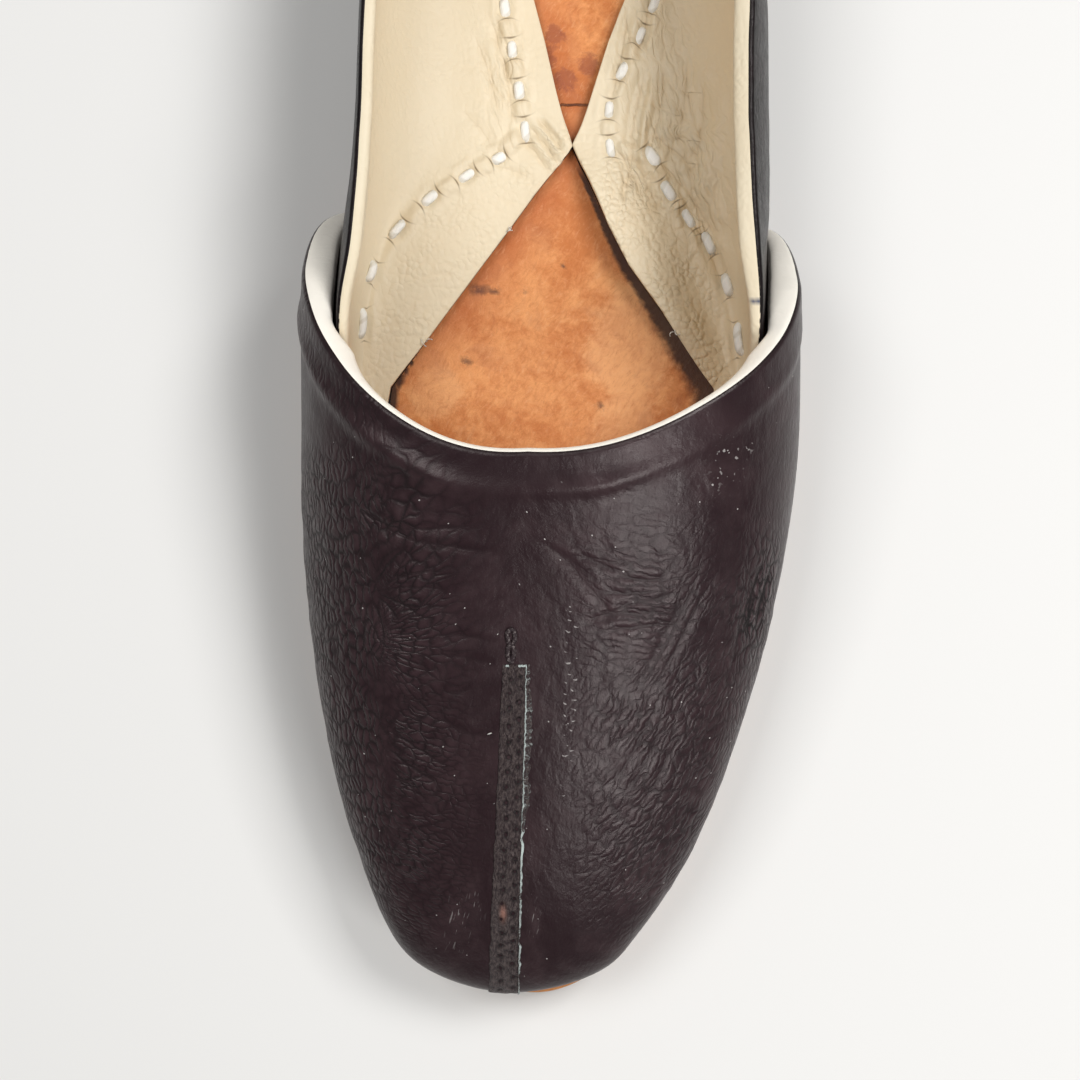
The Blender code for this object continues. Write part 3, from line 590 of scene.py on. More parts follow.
class Last:
    """The shoe's form: each surface as a function, from the sizes and the station tables."""

    def __init__(self, sizes):
        self.sizes = sizes
        self.length = sizes.shoe_length
        self.width = sizes.ball_width
        self.middle = (QUARTER_STATIONS[-1][0] + HEEL_LINES["wide"][0]) / 2

    def to_frame(self, across, along, height):
        """Points in the frame from shares across and along, and heights in metres."""
        parts = np.broadcast_arrays(
            across * self.width, (along - self.middle) * self.length, height)
        return np.stack(parts, axis=-1)

    def from_chart(self, x, y):
        """Frame x and y of a place in millimetres from the ball's middle and the sole's tip."""
        return x / 1000, y / 1000 - self.middle * self.length

    def to_chart(self, points):
        """Millimetres across from the ball's middle and along from the sole's tip, of points."""
        return points[..., 0] * 1000, (points[..., 1] + self.middle * self.length) * 1000

    def floor_height(self, along):
        """Underside of the sole: a quadratic toe spring, and a squared sine for the arch."""
        spring = np.clip(1 - along / SPRING_ENDS, 0, None) ** 2
        in_arch = np.clip((along - ARCH_STARTS) / (ARCH_ENDS - ARCH_STARTS), 0, 1)
        return self.sizes.toe_spring * spring + self.sizes.arch_lift * np.sin(np.pi * in_arch) ** 2

    def insole_underside(self, along):
        """Underside of the insole: the floor height, the outsole and a gap."""
        return self.floor_height(along) + self.sizes.outsole + self.sizes.fit_gap

    def upper_seat(self, along):
        """Where the leather of the upper lies on the insole: one insole and a gap above."""
        return self.insole_underside(along) + self.sizes.insole + self.sizes.fit_gap

    def sole_outline(self, inset, steps):
        """The sole's outline as shares, a closed spline moved inwards along its plan normal."""
        table = columns(SOLE_COLUMNS, SOLE_STATIONS)
        loop_x = both_sides(table, "medial", "lateral")[:-1]
        loop_y = both_sides(table, "along", "along")[:-1]
        places = np.arange(-4, len(loop_x) + 4)
        at = np.arange(-1, len(loop_x) * steps + 1) / steps
        x = spline(places, np.take(loop_x, places, mode="wrap"), at)
        y = spline(places, np.take(loop_y, places, mode="wrap"), at)
        dx, dy = np.gradient(x) * self.width, np.gradient(y) * self.length
        size = np.hypot(dx, dy)
        x = x - inset * dy / size / self.width
        y = y + inset * dx / size / self.length
        return x[1:-1], y[1:-1]

    def vamp_lines(self, around):
        """Widest outline, inward normal, undercut and widest height at places round the toe."""
        table = columns(VAMP_COLUMNS, VAMP_STATIONS)
        last = len(VAMP_STATIONS) - 1
        places = np.arange(-last, last + 1)

        def read(medial, lateral, at):
            return spline(places, both_sides(table, medial, lateral), at)

        nudge = 1e-3
        x, y = read("medial", "lateral", around), read("along", "along", around)
        dx = read("medial", "lateral", around + nudge) - read("medial", "lateral", around - nudge)
        dy = read("along", "along", around + nudge) - read("along", "along", around - nudge)
        dx, dy = dx * self.width, dy * self.length
        inward = np.stack((-dy, dx), axis=-1) / np.hypot(dx, dy)[..., None]
        undercut = read("undercut", "undercut", around) * self.width
        widest = read("widest", "widest", around) * self.sizes.instep_height
        return x, y, inward, undercut, widest

    def vamp_surface(self, around, up):
        """The vamp's outside. up is -2 at the margin's edge, -1 at the foot, 0 where it is widest
        and 1 on the middle line: quarter ellipses that land flat on the insole below, and quarter
        ellipses fuller than true ones above, whose tops follow the middle line's height."""
        x, y, inward, undercut, widest = self.vamp_lines(around)
        fan_y = (y.clip(0) ** FAN_POWER + TOE_FAN**FAN_POWER) ** (1 / FAN_POWER)
        spine = columns(SPINE_COLUMNS, SPINE_STATIONS)
        fan_x = spline(spine["along"], spine["across"], fan_y)
        angle = np.clip(up, 0, 1) * np.pi / 2
        reach = np.cos(angle).clip(0) ** ROUND_ACROSS
        upper_x = fan_x + (x - fan_x) * reach
        upper_y = fan_y + (y - fan_y) * reach
        crown = spline(spine["along"], spine["height"], upper_y) * self.sizes.instep_height
        upper_z = widest + (crown - widest) * np.sin(angle)
        margin_share = np.clip((MARGIN_ENDS - y) / (MARGIN_ENDS - MARGIN_STARTS), 0, 1)
        margin = self.sizes.fit_gap + self.sizes.lasting_margin * margin_share
        turn = np.clip(-up, 0, 1) * np.pi / 2
        travel = undercut * (1 - np.cos(turn)) + margin * np.clip(-1 - up, 0, 1)
        lower_x = x + inward[..., 0] * travel / self.width
        lower_y = y + inward[..., 1] * travel / self.length
        foot_y = y + inward[..., 1] * undercut / self.length
        foot_z = self.upper_seat(np.where(up < -1, lower_y, foot_y))
        lower_z = widest - (widest - foot_z) * np.sin(turn)
        below = up < 0
        return self.to_frame(
            np.where(below, lower_x, upper_x),
            np.where(below, lower_y, upper_y),
            np.where(below, lower_z, upper_z))

    def vamp_grid(self, per_side, margin_rows, lower_rows, upper_rows, short=0.0):
        """Points of the vamp, evenly spaced along its outline from the throat round the toe to the
        throat, and from the margin's edge up to the middle line. It ends short of the throat."""
        up = np.concatenate((
            np.linspace(-2, -1, margin_rows, endpoint=False),
            np.linspace(-1, 0, lower_rows, endpoint=False),
            np.linspace(0, 1, upper_rows)))
        throat = columns(THROAT_COLUMNS, THROAT_STATIONS)
        throat_up = np.concatenate((throat["up"], 2 - throat["up"][-2:-5:-1]))
        last = len(VAMP_STATIONS) - 1
        halves = []
        for side, sign in (("medial", -1), ("lateral", 1)):
            fine = np.linspace(0, last, 1200)
            x, y, *_ = self.vamp_lines(sign * fine)
            travelled = lengths_along(np.stack((x * self.width, y * self.length), axis=-1))
            edge = np.concatenate((throat[side], throat[side][-2:-5:-1]))
            rim = spline(throat_up, edge, np.clip(up, -1, 1))
            rim = np.interp(rim, y, travelled) - short
            ways = np.linspace(0, 1, per_side)[:, None] * rim
            halves.append(sign * np.interp(ways, travelled, fine))
        around = np.concatenate((halves[0][:0:-1], halves[1]))
        up = np.broadcast_to(up, around.shape)
        return self.vamp_surface(around, up), up

    def quarter_lines(self, per_station, heel_steps):
        """Collar, widest line, seam and flap edge from the medial front round the heel: cubics
        along the sides, and round the heel ellipses whose half widths swell with the sine."""
        table = columns(QUARTER_COLUMNS, QUARTER_STATIONS)
        knots = table["along"]
        count = np.arange(len(knots))
        side = np.interp(np.arange(per_station * count[-1] + 1) / per_station, count, knots)
        back = np.linspace(0, np.pi, heel_steps + 1)[1:-1]
        lines = {}
        for line, (reach, swell, back_middle) in HEEL_LINES.items():
            sides = (table[f"{line}_medial"], table[f"{line}_lateral"])
            if line == "edge":
                medial, lateral = (np.interp(side, knots, values) for values in sides)
            else:
                medial, lateral = (steady(knots, values, side) for values in sides)
            middle, half = (medial[-1] + lateral[-1]) / 2, (lateral[-1] - medial[-1]) / 2
            middle = middle + (back_middle - middle) * np.sin(back)
            half = half + swell * np.sin(back)
            x = np.concatenate((medial, middle - half * np.cos(back), lateral[::-1]))
            y = np.concatenate((side, knots[-1] + reach * np.sin(back), side[::-1]))
            lines[line] = np.stack((x, y), axis=-1)
        last_top = table["top_height"][-1] * self.sizes.side_height
        rise = (self.sizes.heel_height - last_top) * np.sin(back) ** 2
        top = steady(knots, table["top_height"], side) * self.sizes.side_height
        wide = steady(knots, table["wide_height"], side) * self.sizes.side_height
        lines["top_height"] = np.concatenate((top, last_top + rise, top[::-1]))
        lines["wide_height"] = np.concatenate((wide, np.full(len(back), wide[-1]), wide[::-1]))
        return lines

    def quarter_grid(self, per_station, heel_steps, wall_rows, turn_rows, flap_rows):
        """Outside of the quarter: a parabola from the collar to the widest line, a quarter
        ellipse to the seam, and straight in over the insole to the flap's edge."""
        lines = self.quarter_lines(per_station, heel_steps)
        top, wide, seam, edge = (lines[k][:, None] for k in ("top", "wide", "seam", "edge"))
        top_z, wide_z = lines["top_height"][:, None], lines["wide_height"][:, None]
        seam_z = self.upper_seat(seam[..., 1])
        fall = np.linspace(0, 1, wall_rows, endpoint=False)[None]
        turn = np.linspace(0, np.pi / 2, turn_rows, endpoint=False)[None]
        share = np.linspace(0, 1, flap_rows)[None]
        wall = wide + (top - wide) * ((1 - fall) ** 2)[..., None]
        curve = seam + (wide - seam) * np.cos(turn)[..., None]
        flap = seam + (edge - seam) * share[..., None]
        plan = np.concatenate((wall, curve, flap), axis=1)
        height = np.concatenate((
            top_z + (wide_z - top_z) * fall,
            wide_z + (seam_z - wide_z) * np.sin(turn),
            self.upper_seat(flap[..., 1])), axis=1)
        return self.to_frame(plan[..., 0], plan[..., 1], height)


def shoe(context):
    """The shoe's form and its colours, from the scene's properties."""
    return Last(context.scene.jutti_sizes), context.scene.jutti_colours


def crease_runs(points, last, rows):
    """Each listed crease in turn: how far points are aside of its bowed line in millimetres,
    how much of it is left towards its ends, its width and its depth."""
    for x1, y1, x2, y2, bow, width, depth in rows:
        start = np.array(last.from_chart(x1, y1))
        way = np.array(last.from_chart(x2, y2)) - start
        length = np.hypot(*way)
        way = way / length
        offset = points[..., :2] - start
        share = (offset @ way) / length
        aside = offset @ np.array((-way[1], way[0])) * 1000 - bow * 4 * share * (1 - share)
        fade = smooth(share, -0.05, 0.25) * (1 - smooth(share, 0.75, 1.05))
        yield aside, fade, width, depth


def troughs(points, last, rows):
    """Depth of listed creases: along each bowed line a Gaussian trough that fades at both
    ends, with a lower ridge beside it."""
    total = np.zeros(points.shape[:-1])
    for aside, fade, width, depth in crease_runs(points, last, rows):
        trough = np.exp(-((aside / width) ** 2))
        ridge = np.exp(-((aside / width - 1.9) ** 2))
        total += fade * depth / 1000 * (trough - 0.45 * ridge)
    return total


def thin_lines(points, last, rows):
    """The strongest crease near each point: the distance to its line, with a sign for the side so
    that a material can draw it thin, and how strong it is there."""
    side, strength = np.full(points.shape[:-1], FAR_ASIDE), np.zeros(points.shape[:-1])
    for aside, fade, _, depth in crease_runs(points, last, rows):
        here = fade * np.minimum(depth / 0.34, 1) * np.exp(-((aside / 1.3) ** 2))
        side = np.where(here > strength, aside, side)
        strength = np.maximum(here, strength)
    return side, strength


class Wire:
    """A shader value. Each operator on it adds one Math node to its material."""

    def __init__(self, paint, socket):
        self.paint = paint
        self.socket = socket

    def math(self, operation, first, second=0.0):
        """The wire of a new Math node."""
        return self.paint.node("ShaderNodeMath", {"operation": operation}, {0: first, 1: second})

    def __add__(self, other):
        return self.math("ADD", self, other)

    def __radd__(self, other):
        return self.math("ADD", other, self)

    def __sub__(self, other):
        return self.math("SUBTRACT", self, other)

    def __rsub__(self, other):
        return self.math("SUBTRACT", other, self)

    def __mul__(self, other):
        return self.math("MULTIPLY", self, other)

    def __rmul__(self, other):
        return self.math("MULTIPLY", other, self)

    def __truediv__(self, other):
        return self.math("DIVIDE", self, other)

    def __rtruediv__(self, other):
        return self.math("DIVIDE", other, self)

    def __abs__(self):
        return self.math("ABSOLUTE", self)

    def sine(self):
        return self.math("SINE", self)

    def least(self, other):
        return self.math("MINIMUM", self, other)

    def most(self, other):
        return self.math("MAXIMUM", self, other)


class Paint:
    """A material in the making: nodes come from node(), sums from the operators of Wire."""

    def __init__(self, name):
        self.material = bpy.data.materials.new(name)
        self.material.use_nodes = True
        self.tree = self.material.node_tree
        self.tree.nodes.clear()

    def node(self, kind, settings=None, sockets=None, output=0):
        """A new node: its settings first, then values or links for its sockets. It gives the wire of
        one output, if the node has any."""
        made = self.tree.nodes.new(kind)
        for key, value in (settings or {}).items():
            setattr(made, key, value)
        for key, value in (sockets or {}).items():
            if isinstance(value, Wire):
                self.tree.links.new(value.socket, made.inputs[key])
            else:
                made.inputs[key].default_value = value
        return Wire(self, made.outputs[output]) if made.outputs else None

    def place(self):
        """Object coordinates in millimetres."""
        metres = self.node("ShaderNodeTexCoord", output="Object")
        return self.node("ShaderNodeVectorMath", {"operation": "SCALE"}, {0: metres, "Scale": 1000.0})

    def chart(self):
        """The piece's own chart: its leather laid out flat, in millimetres."""
        return self.node("ShaderNodeUVMap", {"uv_map": "chart"}, output="UV")

    def parts(self, vector):
        """The three parts of a vector."""
        split = self.node("ShaderNodeSeparateXYZ", {}, {0: vector}).socket.node
        return [Wire(self, socket) for socket in split.outputs]

    def mask(self, name):
        """A value stored on the piece's points."""
        return self.node("ShaderNodeAttribute", {"attribute_name": name}, output="Fac")

    def stretched(self, vector, size, turn=0.0):
        """The vector turned back by an angle, then counted in steps of this size."""
        sockets = {"Vector": vector, "Scale": size, "Rotation": (0.0, 0.0, turn)}
        return self.node("ShaderNodeMapping", {"vector_type": "TEXTURE"}, sockets)

    def clouds(self, vector, size, detail=3.0, rough=0.55, output="Fac", flat=True):
        """Noise whose clouds are about this many millimetres wide."""
        sockets = {"Vector": vector, "Scale": 1.0 / size, "Detail": detail, "Roughness": rough}
        return self.node("ShaderNodeTexNoise", {"noise_dimensions": "2D" if flat else "3D"}, sockets, output)

    def warped(self, vector, amount, size, detail=2.0):
        """The vector moved about by a coloured noise."""
        colour = self.clouds(vector, size, detail, output="Color")
        centred = self.node(
            "ShaderNodeVectorMath", {"operation": "SUBTRACT"}, {0: colour, 1: (0.5, 0.5, 0.5)})
        moved = self.node("ShaderNodeVectorMath", {"operation": "SCALE"}, {0: centred, "Scale": amount})
        return self.node("ShaderNodeVectorMath", {"operation": "ADD"}, {0: vector, 1: moved})

    def cells(self, vector, size=1.0, feature="DISTANCE_TO_EDGE", output="Distance"):
        """Distance within irregular cells of this size, as a share of it."""
        settings = {"feature": feature, "voronoi_dimensions": "2D"}
        return self.node("ShaderNodeTexVoronoi", settings, {"Vector": vector, "Scale": 1.0 / size}, output)

    def step(self, value, low, high):
        """0 to 1 by a smooth step between low and high."""
        sockets = {0: value, 1: low, 2: high, 3: 0.0, 4: 1.0}
        return self.node("ShaderNodeMapRange", {"interpolation_type": "SMOOTHSTEP"}, sockets)

    def mix(self, share, first, second):
        """A colour between two."""
        sockets = {0: share, 6: opaque(first), 7: opaque(second)}
        return self.node("ShaderNodeMix", {"data_type": "RGBA"}, sockets, 2)

    def bump(self, height, distance, strength=1.0):
        """A normal from a height, whose unit is a distance in metres."""
        sockets = {"Height": height, "Distance": distance, "Strength": strength}
        return self.node("ShaderNodeBump", {}, sockets)

    def finish(self, **sockets):
        """The Principled shader with these sockets, given with _ for a space, on the output."""
        named = {key.replace("_", " "): value for key, value in sockets.items()}
        shader = self.node("ShaderNodeBsdfPrincipled", {}, named)
        self.node("ShaderNodeOutputMaterial", {}, {"Surface": shader})
        return self.material


def opaque(colour):
    """A colour as four numbers, or the wire it is."""
    return colour if isinstance(colour, Wire) else (*tuple(colour)[:3], 1.0)


def seam_arcs(p, chart):
    """Small pale flecks in two columns: thin bows that repeat along the shoe, many of them missing."""
    across, along, _ = p.parts(p.warped(chart, 1.1, 2.4))
    total = 0.0
    for column, shift in ((2.9, 0.0), (4.4, 0.4)):
        aside = (across - column) / 0.60
        turn = along / 2.15 + shift - aside * aside * 0.10
        off = abs(p.node("ShaderNodeMath", {"operation": "FRACT"}, {0: turn}) - 0.5)
        total = (1 - p.step(off, 0.030, 0.075)) * (1 - p.step(abs(aside), 0.40, 1.0)) + total
    kept = p.step(p.clouds(chart, 1.5, 2.0), 0.50, 0.62)
    return total * kept * 0.7


def dark_leather(name, colour, worn, grain, shine, dusty):
    """Dark wrinkled leather: a fine net of creases that runs several ways, each where its mask is
    strong, thin listed creases, rubbed spots, dust, and a double row of pale arcs by the seam.

    Bump height rises from 0 in the creases to 1 on the pillows between them. Painted shade darkens
    the creases. The pillows are lighter, partly as wear and partly as painted light, and painted
    highlights light the turned edge's ridge and the sheen spots."""
    p = Paint(name)
    chart = p.chart()
    strong = p.mask("grain")
    loose = p.warped(p.warped(chart, 2.2, 6.0), 1.1, 2.0)
    rays = p.warped(p.node("ShaderNodeUVMap", {"uv_map": "rays"}, output="UV"), 1.2, 2.0)
    nets = [("fan", rays)]
    nets += [(mask, p.stretched(loose, (long, short, 1.0), np.radians(turn)))
             for mask, long, short, turn in WRINKLE_WAYS]
    line, pillow = 0.0, 0.0
    for mask, vector in nets:
        edge = p.cells(vector)
        share = p.mask(mask)
        line = (1 - p.step(edge, 0.0, 0.20)) * share + line
        pillow = p.step(edge, 0.0, 0.50) * share + pillow
    patchy = p.step(p.clouds(chart, 9.0, 2.0), 0.28, 0.60) * 0.6 + 0.4
    line = line * strong * patchy * 0.75
    pillow = pillow * strong * patchy
    for which in ("_a", "_b"):
        wander = p.mask("side" + which) + (p.clouds(chart, 2.6, 2.0) - 0.5) * 0.9
        drawn = (1 - p.step(abs(wander), 0.05, 0.50)) * p.mask("crease" + which)
        line = line.most(drawn * (strong * 0.70 + 0.15))
    fine = p.clouds(chart, 0.30, 2.0, 0.7)
    swell = p.clouds(p.stretched(chart, (1.0, 1.5, 1.0)), 3.4, 3.0, 0.6)
    height = swell * 0.55 + fine * 0.08 + pillow * 0.30 - line * 0.26
    normal = p.bump(height, GRAIN_DEPTH * grain)
    scuff = p.mask("scuff")
    rubbed = p.step(p.clouds(chart, 16.0, 4.0, 0.65), 0.42, 0.75)
    # Towards the worn colour: rubbed clouds and scuffs as wear, pillows partly as wear and partly as painted
    # light, and the ridge mask as a painted highlight
    base = p.mix(rubbed * 0.35 + pillow * 0.45 + scuff * 0.2 + p.mask("ridge") * 0.5, colour, worn)
    # Painted shade: the net's crease lines and the listed creases are darkened towards near black
    base = p.mix(line * 0.80, base, CREASE_SHADE_BLACK)
    dust = p.cells(chart, 8.0, "F1") + p.clouds(chart, 5.0, 1.0) * 0.03
    speck = (1 - p.step(dust, 0.024, 0.036)) * p.step(p.clouds(chart, 16.0, 1.0), 0.48, 0.56)
    scratch = p.step(p.clouds(p.stretched(chart, (0.45, 4.5, 1.0), -0.25), 1.0, 2.0), 0.66, 0.74)
    blob = p.step(p.clouds(chart, 1.2, 1.0), 0.68, 0.72)
    marks = speck * dusty + scuff * scratch * 0.6 + p.mask("fleck") * blob
    marks = marks + seam_arcs(p, chart) * p.mask("arcs")
    base = p.mix(marks.least(1.0) * 0.8, base, DUST_GREY)
    base = p.mix(p.mask("edge") * 0.75, base, RIM_BLACK)
    rough = p.clouds(chart, 4.0, 3.0) * 0.18 + 0.24 + line * 0.2 + scuff * 0.1
    return p.finish(
        Base_Color=base, Roughness=rough, Normal=normal, Specular_IOR_Level=shine,
        Specular_Tint=WARM_SHINE)


def cream_leather(name, colours):
    """Smooth cream lining: pebble grain and soft wrinkles; painted shade in its folds, creases, between
    its pebbles and where its shade mask is strong, towards a warmer colour, and in dark slits at the
    ends of the stitches; a darker random tone, a dash of ink, and painted light on the rolled edge,
    which makes it paler."""
    p = Paint(name)
    chart = p.chart()
    wrinkled, pebbled = p.mask("wrinkle"), p.mask("pebble")
    loose = p.warped(chart, 2.6, 6.0)
    soft = p.clouds(p.stretched(loose, (1.3, 3.6, 1.0), 0.25), 1.9, 3.0, 0.6)
    fold = (1 - p.step(p.cells(p.stretched(loose, (2.2, 7.5, 1.0), 0.22)), 0.0, 0.22)) * wrinkled
    aside = abs(p.mask("side") + (p.clouds(chart, 3.4, 2.0) - 0.5) * 0.8)
    crease = (1 - p.step(aside, 0.0, 1.1)) * p.mask("crease")
    pinch = (1 - p.step(aside, 0.0, 0.34)) * p.mask("crease")
    bead = p.cells(p.warped(p.warped(chart, 1.4, 3.2), 0.4, 1.2), 1.35, "F1")
    grain = 1 - p.step(bead, 0.10, 0.82)
    pore = p.clouds(chart, 0.30, 2.0, 0.7)
    patchy = p.step(p.clouds(chart, 6.0, 2.0), 0.30, 0.70) * 0.70 + 0.30
    height = grain * patchy * (pebbled * 0.44 + 0.04) + pore * 0.07 + soft * (wrinkled * 1.7 + 0.14)
    height = height - fold * 0.60 - crease * 0.5 - pinch * 0.3
    normal = p.bump(height, GRAIN_DEPTH)
    tone = p.clouds(chart, 30.0, 4.0, 0.6)
    # Painted shade: the shade mask, folds, creases, gaps between pebbles and slits darken the lining towards
    # its shaded colour; the random tone is its own
    shade = p.mask("shade") * 0.8 + fold * 0.22 + (1 - grain) * pebbled * patchy * 0.11
    shade = shade + (tone - 0.5) * 0.5 + p.mask("slit") * 0.25 + crease * 0.35
    base = p.mix(shade.most(0.0).least(1.0), colours.lining, colours.lining_shade)
    # Painted shade: a darker umber along the pinch of each crease
    base = p.mix(pinch * 0.16, base, PINCH_SHADE_UMBER)
    # Painted light: the rolled edge of the vamp's lining is made paler
    base = p.mix(p.mask("pale") * 0.96, base, ROLL_LIGHT_WHITE)
    # Painted shade: dark slits at the ends of the stitches, where the thread goes in
    slit = (1 - p.step(abs(p.mask("slit_side")), 0.06, 0.26)) * p.mask("slit")
    base = p.mix(slit * 0.9, base, SLIT_SHADE_UMBER)
    base = p.mix(p.mask("ink"), base, INK_BLUE)
    rough = p.clouds(chart, 3.0, 3.0) * 0.14 + 0.42
    return p.finish(Base_Color=base, Roughness=rough, Normal=normal, Specular_IOR_Level=0.40)


def tan_insole(colours):
    """Vegetable-tanned insole: cloudy tan with fine mottling and a brushed nap, burnt by the medial
    flap, with a painted shadow beside the flaps' edges, pale patches, dark blotches, dots and one slit."""
    p = Paint("insole_tan")
    place = p.place()
    cloud = p.clouds(p.warped(place, 10.0, 20.0), 16.0, 5.0, 0.62)
    mottle = p.clouds(p.warped(place, 1.5, 3.0), 2.4, 5.0, 0.75)
    blotch = p.step(p.clouds(p.warped(place, 9.0, 12.0), 9.0, 4.0, 0.6), 0.50, 0.76)
    nap = p.clouds(p.stretched(p.warped(place, 3.0, 7.0), (0.7, 2.4, 1.0), -0.6), 1.1, 4.0, 0.72)
    base = p.mix(p.step(cloud * 0.66 + mottle * 0.34, 0.36, 0.62), colours.insole, colours.insole_pale)
    light = p.step(p.mask("pale") + (cloud - 0.5) * 0.9 + (mottle - 0.5) * 0.3, 0.30, 0.62)
    base = p.mix(light * 0.38, base, PATCH_PALE)
    base = p.mix(p.mask("burnt") * (mottle * 0.6 + 0.3), base, BURNT_TAN)
    red = p.step(p.mask("red") + (mottle - 0.5) * 1.4, 0.30, 0.75)
    base = p.mix(blotch * 0.28 + red * 0.75, base, colours.insole_stain)
    base = p.mix(p.step(nap, 0.50, 0.74) * 0.30, base, NAP_DARK)
    base = p.mix(p.step(nap, 0.26, 0.46) * -0.22 + 0.22, base, NAP_PALE)
    stain = p.mask("stain")
    ragged = stain * p.step(p.clouds(place, 1.6, 3.0, 0.7) + stain * 0.45, 0.45, 0.80)
    base = p.mix(ragged * 0.9, base, STAIN_BLACK)
    slit = (1 - p.step(abs(p.mask("slit_side") + (mottle - 0.5) * 0.8), 0.10, 0.42)) * p.mask("slit")
    base = p.mix(slit * 0.9, base, CUT_BLACK)
    # Painted shadow: the flaps' shadow on the insole, darkest at their edges
    tuck = (1 - p.step(p.mask("tuck") + (mottle - 0.5) * 0.5, 0.55, 1.20)) * p.mask("tucked")
    base = p.mix(tuck * 0.92, base, FLAP_SHADOW_BLACK)
    height = nap * 0.6 + mottle * 0.3 + p.clouds(place, 0.5, 3.0, 0.7) * 0.3 - slit * 1.5
    normal = p.bump(height, 0.00024, 0.9)
    rough = nap * 0.2 + 0.42
    return p.finish(Base_Color=base, Roughness=rough, Normal=normal, Specular_IOR_Level=0.35)


def sole_leather(colours):
    """Sole leather: layered fibres on the edge, a pale and scuffed underside."""
    p = Paint("sole_tan")
    place = p.place()
    layers = p.clouds(p.stretched(place, (3.0, 3.0, 0.16)), 2.4, 3.0, 0.6, flat=False)
    mottle = p.clouds(place, 16.0, 5.0, 0.65, flat=False)
    scuff = p.clouds(p.stretched(place, (1.0, 4.0, 1.0), 0.2), 2.6, 4.0, 0.7, flat=False)
    base = p.mix(p.step(mottle, 0.30, 0.70), colours.outsole, colours.outsole_pale)
    base = p.mix(p.step(layers, 0.50, 0.72) * 0.45, base, LAYER_BROWN)
    base = p.mix(p.step(scuff, 0.58, 0.76) * 0.30, base, SCUFF_BROWN)
    base = p.mix(p.mask("dark"), base, GROOVE_BLACK)
    normal = p.bump(layers * 0.5 + scuff * 0.5, 0.00022, 0.9)
    return p.finish(Base_Color=base, Roughness=mottle * 0.2 + 0.45, Normal=normal, Specular_IOR_Level=0.4)


def twisted_thread(name, colour, shade, turns):
    """Thread: slack slanted strands along the piece's own chart, with fine hairs, and painted shade between
    the strands.
    """
    p = Paint(name)
    along, round_it, _ = p.parts(p.chart())
    strand = ((along * turns + round_it) * TURN).sine() * 0.5 + 0.5
    hair = p.clouds(p.stretched(p.chart(), (1.4, 0.05, 1.0)), 0.6, 3.0, 0.7)
    # Painted shade between the strands: towards the shade colour where a strand is low
    base = p.mix(p.step(strand, 0.0, 0.35) * 0.7 + hair * 0.3, shade, colour)
    normal = p.bump(strand * 0.35 + hair * 0.8, 0.00022)
    return p.finish(Base_Color=base, Roughness=0.75, Normal=normal, Specular_IOR_Level=0.25)


def strip_leather(colours):
    """Rough dark strip with a pale raw edge, worn corners and dark stitch holes."""
    p = Paint("strip_dark")
    chart = p.chart()
    raw, hole = p.mask("raw"), p.mask("hole")
    nap = p.clouds(p.stretched(p.warped(chart, 0.8, 1.6), (0.45, 1.2, 1.0)), 1.0, 4.0, 0.75)
    base = p.mix(p.step(nap, 0.34, 0.68), colours.vamp, colours.strip)
    speckle = p.step(p.clouds(chart, 0.45, 2.0, 0.7) + raw * 0.75, 0.74, 0.98)
    base = p.mix(raw * speckle, base, colours.raw_edge)
    base = p.mix(hole, base, HOLE_BLACK)
    base = p.mix(p.mask("wear"), base, WORN_PINK)
    normal = p.bump(nap, 0.00065)
    return p.finish(Base_Color=base, Roughness=nap * 0.2 + 0.36, Normal=normal, Specular_IOR_Level=0.38)


def strip_thread(colours):
    """Dark waxed thread of the knot above the strip, dusty in flecks."""
    p = Paint("strip_thread")
    hair = p.clouds(p.place(), 0.5, 3.0, 0.7, flat=False)
    base = p.mix(p.step(hair, 0.50, 0.72) * 0.8, colours.vamp, KNOT_DUST)
    normal = p.bump(hair, 0.0003, 0.9)
    return p.finish(Base_Color=base, Roughness=0.6, Normal=normal, Specular_IOR_Level=0.35)


def plain_floor(colours):
    """Pale studio floor with the faintest tone."""
    p = Paint("floor_pale")
    tone = p.clouds(p.place(), 330.0, 2.0)
    base = p.mix(tone * 0.12, colours.floor, FLOOR_SHADE)
    return p.finish(Base_Color=base, Roughness=0.75, Specular_IOR_Level=0.2)


def grid_quads(points, at, way, index=None):
    """Quads over a grid of points, or over these point numbers, turned so that the one at this place
    faces this way."""
    index = numbered(points.shape[:2]) if index is None else index
    corners = (index[:-1, :-1], index[1:, :-1], index[1:, 1:], index[:-1, 1:])
    quads = np.stack(corners, axis=-1)
    a, b, c, d = points.reshape(-1, 3)[quads[at]]
    if np.dot(np.cross(c - a, d - b), way) < 0:
        quads = quads[..., ::-1]
    return quads.reshape(-1, 4)


def folded_index(wide, high, rows=(-1,), first=0):
    """Point numbers of a grid whose named rows are folded in half, so that both halves share them.
    On a closed ring first is 1, because its first point has no mate."""
    index = numbered((wide, high))
    for row in rows:
        index[wide // 2 + 1:, row] = index[first:wide // 2, row][::-1]
    return index


